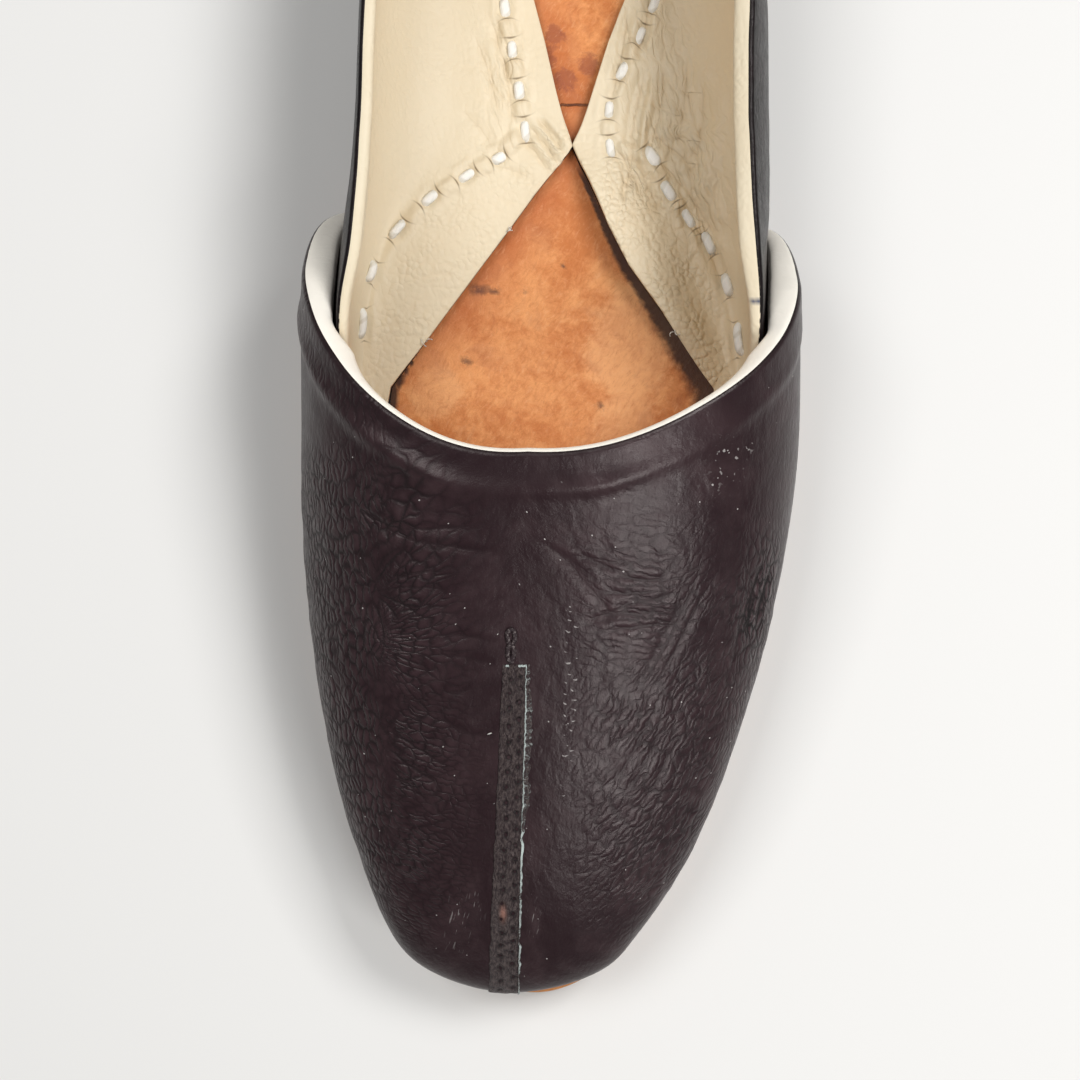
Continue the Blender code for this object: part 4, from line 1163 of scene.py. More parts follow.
def make_piece(name, points, quads, material, replaces=(), masks=None, charts=None, wall=None):
    """A smooth mesh object that rides on the shoe. masks are values per point, charts UVs per
    point, and wall the depth that a sheet gets behind its face."""
    mesh = bpy.data.meshes.new(name)
    points = points.reshape(-1, 3)
    used, quads = np.unique(quads, return_inverse=True)
    quads = quads.reshape(-1, 4).astype(np.int32)
    mesh.vertices.add(len(used))
    mesh.vertices.foreach_set("co", points[used].astype(np.float32).ravel())
    mesh.loops.add(quads.size)
    mesh.loops.foreach_set("vertex_index", quads.ravel())
    mesh.polygons.add(len(quads))
    mesh.polygons.foreach_set("loop_start", np.arange(0, quads.size, 4, dtype=np.int32))
    mesh.update(calc_edges=True)
    mesh.polygons.foreach_set("use_smooth", np.ones(len(quads), bool))
    for key, values in (masks or {}).items():
        layer = mesh.attributes.new(key, "FLOAT", "POINT")
        layer.data.foreach_set("value", values.reshape(-1)[used].astype(np.float32))
    for key, values in (charts or {}).items():
        layer = mesh.uv_layers.new(name=key)
        layer.data.foreach_set("uv", values.reshape(-1, 2)[used][quads].astype(np.float32).ravel())
    mesh.validate()
    mesh.materials.append(material)
    made = bpy.data.objects.new(name, mesh)
    bpy.context.scene.collection.objects.link(made)
    if wall is not None:
        depth = made.modifiers.new("wall", "SOLIDIFY")
        depth.thickness = wall
        depth.offset = -1
    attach(made, BODY)
    if replaces:
        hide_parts(*replaces)
    return made


def roll_over(edge, inner, normals, radius, depth, start, end, count):
    """A roll round an edge, from the outer face at 0 degrees to the inner face at 180.

    Off the sheet is square to the edge and to its normals. At an angle the roll is radius times
    the sine off the sheet, and half the depth times one minus the cosine behind the outer face.
    A deep roll is squarer: its sines and cosines have a power below one."""
    run = unit(np.gradient(edge, axis=0))
    away = unit(np.cross(run, normals))
    away = away * np.where(((edge - inner) * away).sum(axis=-1, keepdims=True) < 0, -1, 1)
    angle = np.radians(np.linspace(start, end, count))[:, None, None]
    half = np.broadcast_to(np.asarray(depth) / 2, len(edge))[:, None]
    power = 1 / (1 + np.clip((half / radius - 1) * 0.3, 0, 0.6))
    rise = np.sin(angle) ** power
    behind = 1 - np.sign(np.cos(angle)) * np.abs(np.cos(angle)) ** power
    return edge + radius * rise * away - half * behind * normals


def spots(points, last, rows):
    """Soft oval patches, each x, y, half width across and half length along, in millimetres."""
    total = np.zeros(points.shape[:-1])
    for x, y, across, along in rows:
        middle_x, middle_y = last.from_chart(x, y)
        dx, dy = (points[..., 0] - middle_x) * 1000, (points[..., 1] - middle_y) * 1000
        total = np.maximum(total, np.exp(-((dx / across) ** 2 + (dy / along) ** 2)))
    return total


def tubes(paths, normals, across, height):
    """Closed tubes: ellipses carried along paths, square to them, with both ends capped.

    paths are (tubes, steps, 3), normals one for all, per tube or per step, and across and height
    half widths, one for all, per step, or per tube and step."""
    run = unit(np.gradient(paths, axis=1))
    side = unit(np.cross(run, normals))
    up = np.cross(side, run)
    angle = np.arange(TUBE_SIDES) * 2 * np.pi / TUBE_SIDES
    cosine, sine = np.cos(angle)[:, None], np.sin(angle)[:, None]
    wide, high = (np.broadcast_to(v, paths.shape[:2])[..., None, None] for v in (across, height))
    points = paths[:, :, None] + wide * cosine * side[:, :, None] + high * sine * up[:, :, None]
    ring = numbered(points.shape[:-1])
    following = np.roll(ring, -1, axis=2)
    walls = np.stack((ring[:, :-1], following[:, :-1], following[:, 1:], ring[:, 1:]), axis=-1)
    caps = np.array(TUBE_CAPS)
    quads = np.concatenate((
        walls.reshape(-1, 4),
        ring[:, 0][:, caps[:, ::-1]].reshape(-1, 4),
        ring[:, -1][:, caps].reshape(-1, 4)))
    chart = np.empty((*points.shape[:-1], 2))
    chart[..., 0] = lengths_along(paths, 1)[..., None] * 1000
    chart[..., 1] = np.arange(TUBE_SIDES) / TUBE_SIDES
    return points, quads, chart


def wrinkle_masks(x, y):
    """Where the vamp's wrinkles run which way: shares that add up to one and change over slowly."""
    flank = smooth(-x, 28, 37)
    left = 1 - smooth(x, -9, 5)
    high = smooth(y, 60, 72)
    across = smooth(y, 66, 80) * (1 - smooth(x, 21, 30))
    shares = {
        "tall": flank + smooth(x, 32, 40),
        "fan": left * (1 - flank) * high,
        "down": left * (1 - flank) * (1 - high),
        "flat": (1 - left) * across,
        "up": (1 - left) * (1 - across) * (1 - smooth(x, 32, 40)),
    }
    total = sum(shares.values())
    return {key: share / total for key, share in shares.items()}


def fan_chart(chart):
    """A chart of rays from one place on the medial side: along a ray, and the angle between rays."""
    offset = chart - np.array(FAN_START)
    length = np.hypot(offset[..., 0], offset[..., 1])
    angle = np.arctan2(offset[..., 1], offset[..., 0])
    return np.stack((length, angle), axis=-1) / FAN_CELL


def longer_chart(chart, rolls):
    """A chart with more columns at both ends for rolled edges, each on from the last by its length."""
    ends = []
    for end, before, roll in ((0, 1, rolls[0]), (-1, -2, rolls[1])):
        lengths = lengths_along(roll)[1:, :, None] * 1000
        ends.append(chart[end] + unit(chart[end] - chart[before]) * lengths)
    return np.concatenate((ends[0][::-1], chart, ends[1]))


def vamp_form(last, per_side, rows, relief=True):
    """The vamp's leather with its relief: turned edge, soft swells, wrinkles and listed creases.

    The turned edge is a band with a Gaussian ridge at its lower side that wanders. The swells are
    noise, the wrinkles one minus twice the size of a finer noise, and both fade towards the rim."""
    points, up = last.vamp_grid(per_side, *rows, short=RIM_ROOM)
    points[:, -1] = (points[:, -1] + points[::-1, -1]) / 2
    normals = grid_normals(points)
    normals[:, -1] = unit(normals[:, -1] + normals[::-1, -1])
    if normals[len(points) // 4, -8, 2] < 0:
        normals = -normals
    x, y = last.to_chart(points)
    to_rim = nearest(points, np.concatenate((points[0], points[-1])))[1]
    form = {"normals": normals, "smooth": points, "to_rim": to_rim, "up": up, "x": x, "y": y}
    turned = last.sizes.turned_edge
    away = to_rim - (turned - 0.0012) - 0.0007 * noise(points, 0.016, 6)
    ridge = np.exp(-((away / 0.0021) ** 2))
    band = 1 - smooth(to_rim, turned - 0.0018, turned + 0.0010)
    uneven = (1.1 + 0.6 * noise(points, 0.011, 5)) * (1 - 0.7 * smooth(x, 6, 30))
    move = last.sizes.turned_lift * (0.55 * band + uneven * ridge)
    # The ridge mask is a painted highlight: the turned edge's ridge and the sheen spots are lightened in
    # colour
    form["ridge"] = np.clip(0.4 * uneven * ridge + spots(points, last, VAMP_SHEEN), 0, 1)
    if not relief:
        form["points"] = points + normals * move[..., None]
        return form
    upper = smooth(up, -0.4, 0.2)
    medial = smooth(-x, 9, 30) * smooth(y, 8, 34) * (1 - smooth(y, 108, 122))
    lateral = smooth(x, 1, 16) * smooth(y, 8, 32) * (1 - smooth(y, 84, 108))
    form["grain"] = np.clip(0.12 + 0.88 * medial + 0.62 * lateral, 0, 1) * (1 - 0.8 * band)
    form["grain"] += 1.4 * spots(points, last, VAMP_RUCKS) + 0.2 * medial * smooth(-x, 24, 34)
    form["grain"] += 0.45 * band * smooth(-x, 14, 30)
    form["ways"] = wrinkle_masks(x, y)
    for which, creases in (("_a", VAMP_CREASES[::2]), ("_b", VAMP_CREASES[1::2])):
        form["side" + which], form["crease" + which] = thin_lines(points, last, creases)
        form["crease" + which] *= upper
    move += 0.00040 * noise(points, (0.017, 0.024, 0.02), 1) * upper * smooth(to_rim, 0.001, 0.010)
    ridged = 1 - 2 * np.abs(noise(points, (0.0036, 0.0052, 0.005), 2))
    move += 0.00012 * ridged * np.clip(medial + lateral, 0, 1) * (1 - band)
    move -= 0.8 * troughs(points, last, VAMP_CREASES) * upper
    form["points"] = points + normals * move[..., None]
    form["points"][:, -1] = (form["points"][:, -1] + form["points"][::-1, -1]) / 2
    return form


def vamp_chart(last, form):
    """The vamp laid out flat: from the middle line's point of each column, its length along the
    surface is taken off in the direction that the column leaves in plan."""
    points = form["smooth"][:, ::-1] * 1000
    start = points[:, :1, :2]
    widest = int(np.argmin(np.abs(form["up"][0][::-1])))
    way = unit(points[:, [widest], :2] - start)
    chart = start + way * lengths_along(points, 1)[..., None]
    chart[..., 1] += last.middle * last.length * 1000
    return chart[:, ::-1]


def sheet_chart(points):
    """A sheet laid out flat in millimetres: lengths along its middle row and down each column."""
    along = lengths_along(points[:, points.shape[1] // 2])
    return np.stack(np.broadcast_arrays(along[:, None], lengths_along(points, 1)), axis=-1) * 1000


def padded_ends(values, count):
    """Values of a grid with its first and last columns repeated."""
    return np.concatenate((
        np.repeat(values[:1], count, axis=0), values, np.repeat(values[-1:], count, axis=0)))


def rim_padding(points, along, quarter, wall):
    """How far the vamp's lining stands in from its wall: a hair over the toes, and at the sides as
    far as the quarter's wall lets it."""
    room = nearest(points, quarter.reshape(-1, 3))[1] - wall - RIM_CLEARANCE
    deep = np.clip(room, LINING_STANDS, RIM_DEEPEST) - LINING_STANDS
    return LINING_STANDS + deep * smooth(along, 124, 146)


def vamp_rolls(form, depths, share, angles, sizes):
    """Rolls over both ends of the rim, from the outer face on. Their radius is this share of half the
    turned edge's thickness."""
    points, normals = form["points"], form["normals"]
    radius = (sizes.vamp_wall + sizes.turned_lift) / 2 * share
    return [
        roll_over(points[end], points[before], normals[end], radius, depth, *angles)
        for end, before, depth in zip((0, -1), (1, -2), depths)]


def vamp_outside(last, quarter, colours):
    """The vamp's grained leather, its rim turned over by a first part of the roll."""
    sizes = last.sizes
    form = vamp_form(last, *VAMP_FINE)
    points, y, ends = form["points"], form["y"], [0, -1]
    depths = sizes.vamp_wall + rim_padding(form["smooth"][ends], y[ends], quarter, sizes.vamp_wall)
    rolls = vamp_rolls(form, depths, 1, VAMP_LEATHER_ROLL, sizes)
    whole = np.concatenate((rolls[0][:0:-1], points, rolls[1][1:]))
    extra = len(rolls[0]) - 1
    masks = {
        **{key: form[key] for key in ("grain", "ridge", "side_a", "crease_a", "side_b", "crease_b")},
        "scuff": spots(points, last, VAMP_SCUFFS),
        "fleck": spots(points, last, VAMP_FLECKS),
        "arcs": smooth(y, 44, 48) * (1 - smooth(y, 84, 87)),
        **form["ways"],
    }
    masks = {key: padded_ends(values, extra) for key, values in masks.items()}
    masks["edge"] = np.zeros(whole.shape[:2])
    masks["edge"][:extra] = np.linspace(1, 0, extra)[:, None]
    masks["edge"][-extra:] = np.linspace(0, 1, extra)[:, None]
    chart = longer_chart(vamp_chart(last, form), rolls)
    quads = grid_quads(whole, (len(whole) // 4, -8), (0, 0, 1), folded_index(*whole.shape[:2]))
    leather = dark_leather("vamp_dark", colours.vamp, colours.vamp_worn_and_sheen, grain=1.0, shine=0.30, dusty=1.0)
    make_piece("vamp_leather", whole, quads, leather, ("vamp",), masks,
               {"chart": chart, "rays": fan_chart(chart)}, wall=sizes.vamp_leather)


def vamp_inside(last, quarter, colours):
    """The vamp's cream lining: off the wall by the padding, on the leather at the margin's edge, and
    rolled out over the rim, where painted light makes it paler."""
    sizes = last.sizes
    form = vamp_form(last, *VAMP_COARSE, relief=False)
    pad = rim_padding(form["smooth"], form["y"], quarter, sizes.vamp_wall)
    off_margin = smooth(form["up"], -2.05, -1.3)
    offset = MARGIN_LINING + (sizes.vamp_wall + pad - MARGIN_LINING) * off_margin
    inner = form["smooth"] - form["normals"] * offset[..., None]
    depths = sizes.vamp_wall + pad[[0, -1]]
    rolls = vamp_rolls(form, depths, VAMP_ROLL_INSIDE, VAMP_LINING_ROLL, sizes)
    whole = np.concatenate((rolls[0], inner, rolls[1][::-1]))
    quads = grid_quads(whole, (len(whole) // 4, -8), (0, 0, -1), folded_index(*whole.shape[:2]))
    faint = np.full(whole.shape[:2], 0.10)
    # Painted light: paler towards the rim and over the roll
    rolled = padded_ends(1 - smooth(form["to_rim"], 0.002, 0.014), len(rolls[0]))
    masks = {"wrinkle": faint, "pebble": faint, "pale": rolled}
    joined = [np.concatenate((inner[[end]], roll[::-1])) for end, roll in zip((0, -1), rolls)]
    chart = longer_chart(vamp_chart(last, form), joined)
    make_piece("vamp_lining", whole, quads, cream_leather("vamp_cream", colours), ("vamp",), masks,
               {"chart": chart}, wall=sizes.vamp_lining)


class JUTTI_OT_vamp(bpy.types.Operator):
    """Builds the vamp's grained leather and its cream lining"""

    bl_idname = "jutti.vamp"
    bl_label = "Vamp"

    def execute(self, context):
        last, colours = shoe(context)
        quarter = quarter_form(last, *QUARTER_COARSE)["points"]
        vamp_outside(last, quarter, colours)
        vamp_inside(last, quarter, colours)
        return {"FINISHED"}


def quarter_form(last, per_station, heel_steps, rows):
    """The quarter's outside with its flaps as they lie: the lateral front edge lifted from the
    insole, the tips brought together and the medial tip a little raised.

    pad is how far the lining stands off the wall in a soft roll below the collar, and level is 1
    where the leather lies flat and 0 where it stands."""
    points = last.quarter_grid(per_station, heel_steps, *rows)
    x, y = last.to_chart(points)
    flap = np.concatenate((np.zeros(rows[0] + rows[1]), np.linspace(0, 1, rows[2])))[None]
    lateral = (np.arange(len(points)) > len(points) // 2)[:, None]
    tip = smooth(flap, 0.6, 1) * np.exp(-(((y - 183) / 5) ** 2))
    points[..., 0] += np.where(lateral, -0.00045, 0.00055) * tip
    front = smooth(y, 128, 148) * (1 - smooth(y, 166, 186))
    lift = np.where(lateral, 0.0058, 0.0005) * smooth(flap, 0.25, 1) * front
    points[..., 2] += lift + np.where(lateral, 0.0, 0.0006) * tip
    normals = grid_normals(points)
    if normals[len(points) // 2, 3, 1] < 0:
        normals = -normals
    below = points[:, :1, 2] - points[..., 2]
    soft = (0.0007 + 0.0013 * smooth(x, -10, 25)) * smooth(y, 136, 160) + 0.0002
    form = {"points": points, "normals": normals, "flap": flap + 0 * x, "lateral": lateral, "x": x, "y": y}
    form["pad"] = soft * (1 - smooth(below, 0.0005, 0.017))
    form["level"] = smooth(-normals[..., 2], 0.45, 0.75)
    return form


def along_and_aside(form, x, y, way):
    """Millimetres along and aside of a line through x, y that runs this way, in radians."""
    dx, dy = form["x"] - x, form["y"] - y
    return dx * np.cos(way) + dy * np.sin(way), dy * np.cos(way) - dx * np.sin(way)


def puckers(form):
    """Relief round the sole stitches: a dent under each, and a puff of leather between two."""
    total = np.zeros(form["x"].shape)
    rows = np.array(FLAP_STITCHES)
    for x, y, way, length in rows:
        u, v = along_and_aside(form, x, y, np.radians(way))
        total -= 0.0008 * np.exp(-((u / (0.52 * length)) ** 4) - (v / 1.3) ** 2)
        total += 0.00035 * np.exp(-((u / (0.75 * length)) ** 4) - (np.abs(v) - 2.4) ** 2)
    for before, after in zip(rows[:-1], rows[1:]):
        gap = after[:2] - before[:2]
        size = np.hypot(*gap)
        if size > PUFF_REACH:
            continue
        u, v = along_and_aside(form, *(after[:2] + before[:2]) / 2, np.arctan2(gap[1], gap[0]))
        half = np.maximum((size - (before[3] + after[3]) / 2) / 2 + 0.5, 1.5)
        total += 0.0010 * np.exp(-((u / half) ** 4) - (v / 1.7) ** 4)
    return total


def stitch_ends(form):
    """Where the sole thread goes into the leather: the distance from a slit across each end of each
    stitch, bowed away from it, with a sign for the side, and how strong the slit is there."""
    side, strength = np.full(form["x"].shape, FAR_ASIDE), np.zeros(form["x"].shape)
    for x, y, way, length in FLAP_STITCHES:
        u, v = along_and_aside(form, x, y, np.radians(way))
        gap = np.abs(u) - length / 2 - 0.3 - 0.12 * v * v
        here = np.exp(-(gap**2) - (v / 1.5) ** 2)
        side = np.where(here > strength, gap, side)
        strength = np.maximum(here, strength)
    return side, strength


def lining_form(last, form):
    """The lining's face: inside the quarter's wall, puckered at its stitches and creased along listed lines.
    """
    inside = form["points"] - form["normals"] * (last.sizes.quarter_wall + form["pad"])[..., None]
    pull = 0.07 * (1 - smooth(form["y"], 126, 142)) * ~form["lateral"]
    seam = inside[:, [int((form["flap"][0] == 0).sum()) - 1]]
    inside = inside - (inside - seam) * (pull * (form["flap"] > 0))[..., None]
    low = 1 - smooth(inside[..., 2], 0.020, 0.034)
    folds = np.clip(2.2 * troughs(inside, last, LINING_CREASES), -0.0016, 0.0007)
    move = (puckers(form) * smooth(form["flap"], 0.0, 0.14) - folds) * low
    move += 0.00030 * noise(inside, (0.013, 0.022, 0.02), 11)
    wavy = form["flap"] ** 3 * 0.00035 * noise(inside, 0.011, 12)
    return inside - form["normals"] * (move + wavy)[..., None]


def lining_chart(points, flap):
    """The lining laid out flat: flaps in plan, and walls on from their seam by their own length,
    in the direction in which they leave it."""
    seam = int((flap[0] == 0).sum()) - 1
    plan = points[..., :2] * 1000
    lengths = lengths_along(points[:, seam::-1] * 1000, 1)
    way = unit(plan[:, [seam - 8]] - plan[:, [seam]])
    chart = plan.copy()
    chart[:, seam::-1] = plan[:, [seam]] + way * lengths[..., None]
    return chart


def collar_roll(form, wall, share, angles):
    """The roll over the collar as more rows of its grid, from the outer face on. Its radius is this
    share of half the wall."""
    points, normals = form["points"], form["normals"]
    depth = wall + form["pad"][:, 0]
    roll = roll_over(points[:, 0], points[:, 1], normals[:, 0], wall / 2 * share, depth, *angles)
    return np.moveaxis(roll, 0, 1)


def quarter_outside(last, colours):
    """The quarter's black leather, its collar turned over by a first part of the roll."""
    sizes = last.sizes
    form = quarter_form(last, *QUARTER_COARSE)
    roll = collar_roll(form, sizes.quarter_wall, 1, QUARTER_LEATHER_ROLL)
    whole = np.concatenate((roll[:, :0:-1], form["points"]), axis=1)
    quads = grid_quads(whole, (len(whole) // 2, 10), (0, 1, 0))
    half = np.full(whole.shape[:2], 0.5)
    masks = {"grain": 0.9 * half, "tall": half, "flat": half}
    leather = dark_leather("quarter_black", colours.quarter, colours.vamp, grain=0.9, shine=0.15, dusty=0.15)
    chart = sheet_chart(whole)
    make_piece("quarter_leather", whole, quads, leather, ("quarter",), masks,
               {"chart": chart, "rays": chart}, wall=sizes.quarter_leather)


def quarter_inside(last, colours):
    """The quarter's cream lining: the last part of the collar's roll, the wall and the flaps."""
    sizes = last.sizes
    form = quarter_form(last, *QUARTER_FINE)
    roll = collar_roll(form, sizes.quarter_wall, QUARTER_ROLL_INSIDE, QUARTER_LINING_ROLL)
    whole = np.concatenate((roll, lining_form(last, form)), axis=1)
    quads = grid_quads(whole, (len(whole) // 2, 20), (0, -1, 0))
    rolled = roll.shape[1]
    extra = ((0, 0), (rolled, 0))
    x, y = (np.pad(form[key], extra, "edge") for key in ("x", "y"))
    flap = np.pad(form["flap"], extra)
    height = whole[..., 2]
    below = height[:, [rolled]] - height
    side, crease = thin_lines(whole, last, LINING_CREASES)
    slit_side, slit = stitch_ends(form)
    masks = {
        "wrinkle": 0.08 + 0.90 * spots(whole, last, LINING_WRINKLES) * (1 - smooth(height, 0.022, 0.036)),
        "pebble": 0.35 + (0.65 + 1.3 * (x > 0)) * smooth(flap, 0.0, 0.3) * (1 - smooth(y, 176, 190)),
        # Painted shade on the lateral wall below the collar, and along the flaps' front edges
        "shade": 0.6 * smooth(x, 8, 40) * smooth(below, 0.004, 0.014) + 0.2 * smooth(flap, 0.93, 1),
        "ink": spots(whole, last, INK_DASH) * (1 - smooth(below, 0.005, 0.008)),
        "crease": crease * (1 - smooth(height, 0.020, 0.034)),
        "side": side,
        # Painted shade in the slits at the ends of the stitches
        "slit": np.pad(slit * form["level"], extra),
        "slit_side": np.pad(slit_side, extra),
    }
    make_piece("quarter_lining", whole, quads, cream_leather("quarter_cream", colours), ("quarter",),
               masks, {"chart": lining_chart(whole, flap)}, wall=sizes.quarter_lining)


class JUTTI_OT_quarter(bpy.types.Operator):
    """Builds the quarter's black leather and its cream lining with the turned-in flaps"""

    bl_idname = "jutti.quarter"
    bl_label = "Quarter"

    def execute(self, context):
        last, colours = shoe(context)
        quarter_outside(last, colours)
        quarter_inside(last, colours)
        return {"FINISHED"}


def on_surface(points, normals, x, y):
    """Nearest grid point, in plan, to each place, moved to that place on its tangent plane."""
    flat, facing = points.reshape(-1, 3), normals.reshape(-1, 3)
    places = np.stack((x, y, np.zeros_like(x)), axis=-1)
    plan = flat * (1, 1, 0)
    pick = nearest(places, plan)[0]
    found, face = flat[pick].copy(), facing[pick]
    drop = ((places - found)[..., :2] * face[..., :2]).sum(axis=-1) / face[..., 2]
    found[..., :2] = places[..., :2]
    found[..., 2] -= drop
    return found, face


def flap_surface(last, form):
    """Points and inward normals of the lining where it is flap."""
    low = form["points"][..., 2] < FLAP_HIGHEST
    return lining_form(last, form)[low], -form["normals"][low]


def level_ways(degrees):
    """Level unit vectors at these angles, counted from across towards the heel."""
    turn = np.radians(degrees)
    return np.stack((np.cos(turn), np.sin(turn), 0 * turn), axis=-1)


def straight_paths(middle, way, lengths):
    """Straight paths of these lengths in millimetres through their middles, and shares along them
    from -1 to 1."""
    u = np.linspace(-1, 1, STITCH_STEPS)
    return middle[:, None] + way[:, None] * (u * lengths[:, None] / 2000)[..., None], u


def flap_stitches(last, thread):
    """Stitches on the flaps: they arch over the leather, sink into it at both ends, and differ in
    bulk and way by noise."""
    radius = last.sizes.thread
    form = quarter_form(last, *QUARTER_FINE)
    rows = np.concatenate((FLAP_STITCHES, HIDDEN_STITCHES, heel_stitches(form)))
    middle, up = on_surface(*flap_surface(last, form), *last.from_chart(rows[:, 0], rows[:, 1]))
    bulk = 1 + 0.22 * noise(middle, 0.004, 41)
    bulk[KNOTTED_STITCH] = 1.4
    way = level_ways(rows[:, 2] + np.degrees(0.12 * noise(middle, 0.004, 42)))
    way = unit(way - (way * up).sum(axis=-1, keepdims=True) * up)
    path, u = straight_paths(middle, way, rows[:, 3])
    arch = np.interp(np.abs(u), (0, 0.6, 0.85, 1), (0.55, 0.45, -0.15, -1.1)) * radius
    path = path + up[:, None] * (arch * bulk[:, None])[..., None]
    thick = radius * (1 - 0.35 * np.abs(u) ** 6) * bulk[:, None]
    points, quads, chart = tubes(path, up[:, None], thick, 0.8 * thick)
    make_piece("sole_stitches", points, quads, thread, charts={"chart": chart})


def stitch_backs(last, thread):
    """Backs of the stitches in the groove under the sole, sunk into it at both ends."""
    rows = under_stitches(last)
    x, y = last.from_chart(rows[:, 0], rows[:, 1])
    along = (y + last.middle * last.length) / last.length
    middle = np.stack((x, y, last.floor_height(along) + 0.00052), axis=-1)
    path, u = straight_paths(middle, level_ways(rows[:, 2]), rows[:, 3])
    path[..., 2] += np.abs(u) ** 4 * 0.0009
    slim = 1 - 0.35 * np.abs(u) ** 6
    points, quads, chart = tubes(path, (0.0, 0.0, -1.0), 0.0006 * slim, 0.00042 * slim)
    make_piece("sole_stitch_backs", points, quads, thread, charts={"chart": chart})


class JUTTI_OT_sole_stitches(bpy.types.Operator):
    """Builds the white stitches through the flaps, and their backs under the sole"""

    bl_idname = "jutti.sole_stitches"
    bl_label = "Sole stitches"

    def execute(self, context):
        last, colours = shoe(context)
        thread = twisted_thread("sole_thread", colours.thread, THREAD_SHADE, 0.30)
        flap_stitches(last, thread)
        stitch_backs(last, thread)
        return {"FINISHED"}


def heel_stitches(form):
    """Stitches round the heel, evenly spaced midway along the flap, on from the table."""
    row = int(np.argmin(np.abs(form["flap"][0] - 0.42)))
    x, y = form["x"][:, row], form["y"][:, row]
    back = y > 218.5
    x, y = x[back], y[back]
    travelled = lengths_along(np.stack((x, y), axis=-1))
    at = np.linspace(0, travelled[-1], int(travelled[-1] / STITCH_PITCH) + 1)
    px, py = np.interp(at, travelled, x), np.interp(at, travelled, y)
    way = np.degrees(np.arctan2(np.gradient(py), np.gradient(px)))
    return np.stack((px, py, way, np.full_like(px, 4.6)), axis=-1)


def under_stitches(last):
    """Stitches in the groove under the sole, evenly spaced along it."""
    x, y = last.sole_outline(GROOVE_INSET, OUTLINE_STEPS)
    x, y = x * last.width * 1000, y * last.length * 1000
    travelled = lengths_along(np.stack((x, y), axis=-1))
    at = np.arange(4.0, travelled[-1] - 4, STITCH_PITCH)
    px, py = np.interp(at, travelled, x), np.interp(at, travelled, y)
    ahead = np.minimum(at + 0.5, travelled[-1])
    way = np.degrees(np.arctan2(np.interp(ahead, travelled, y) - py, np.interp(ahead, travelled, x) - px))
    return np.stack((px, py, way, np.full_like(px, 4.8)), axis=-1)


def strip_rows(last):
    """The strip in plan, from its top to the toe and down round it. Each row has an angle of its
    rays: upright along the top, turning level and a little below at the toe. Its columns w are -1 to
    1 over the strip and 1 to 2 over the raw edge beside it, with ragged and frayed edges by noise."""
    sizes = last.sizes
    starts = STRIP_STARTS * last.length
    run = np.linspace(starts, STRIP_TURNS, STRIP_RUN)[:-1]
    plan = np.concatenate((run, STRIP_TURNS * np.linspace(1, 0, STRIP_BEND)))
    toe = 1 - plan / starts
    half = (sizes.strip_top + (sizes.strip_toe - sizes.strip_top) * toe) / 2
    raw = np.interp(plan * 1000, *RAW_WIDTHS) / 1000
    angle = np.radians(np.concatenate((np.full(len(run), 90.0), np.linspace(90, -6, STRIP_BEND))))
    seeds = np.stack((plan, 0 * plan, angle * 0.01), axis=-1)
    ragged, frayed = noise(seeds, 0.0021, 21), noise(seeds, 0.0007, 23)
    w = np.concatenate((np.linspace(-1, 1, 25), np.linspace(1, 2, 8)[1:]))
    left = half * (1 + 0.07 * ragged + 0.05 * frayed)
    right = half * (1 + 0.03 * ragged + 0.05 * frayed)
    offset = np.where(w < 0, w * left[:, None], np.minimum(w, 1) * right[:, None])
    offset = offset + np.clip(w - 1, 0, 1) * (raw * (1 + 0.30 * ragged + 0.12 * frayed))[:, None]
    return {
        "w": w, "offset": offset, "half": half, "raw": raw, "plan": plan, "angle": angle, "seeds": seeds,
        "ahead": np.concatenate((run, np.full(STRIP_BEND, STRIP_TURNS))),
        "centre": (STRIP_MIDDLE_TOP + (STRIP_MIDDLE_TOE - STRIP_MIDDLE_TOP) * toe) * last.width,
        "ragged": ragged, "frayed": frayed,
    }


def strip_on_vamp(last, strip, samples, faces):
    """Where the strip's rays, which start at its foot's height, meet the vamp, and outward normals."""
    angle = strip["angle"]
    origin = np.stack(np.broadcast_arrays(
        strip["centre"][:, None] + strip["offset"],
        (strip["ahead"] - last.middle * last.length)[:, None],
        last.sizes.strip_foot), axis=-1)
    way = np.stack((0 * angle, -np.cos(angle), np.sin(angle)), axis=-1)[:, None]
    way = np.broadcast_to(way, origin.shape)
    points = ray_hits(origin, way, samples, faces)
    normals = grid_normals(points)
    return points, normals * np.sign((normals * way).sum(axis=-1, keepdims=True))


def strip_holes(strip, travelled):
    """Two rows of stitch holes: Gaussian dots at a pitch that wanders, none by the strip's ends."""
    hole = np.zeros(strip["offset"].shape)
    for middle, shift in ((-0.2, 0.0), (0.62, 0.35)):
        beat = travelled / HOLE_PITCH + shift + 0.22 * noise(strip["seeds"], 0.006, 24)
        gap = (np.mod(beat + 0.5, 1) - 0.5) * HOLE_PITCH
        aside = (strip["w"][None] - middle) * strip["half"][:, None] + 0.0003 * strip["ragged"][:, None]
        hole = np.maximum(hole, np.exp(-((gap[:, None] / 0.00056) ** 2) - (aside / 0.00048) ** 2))
    inside = smooth(travelled, 0.002, 0.003) * (travelled < travelled[-1] - 0.002)
    return hole * inside[:, None]


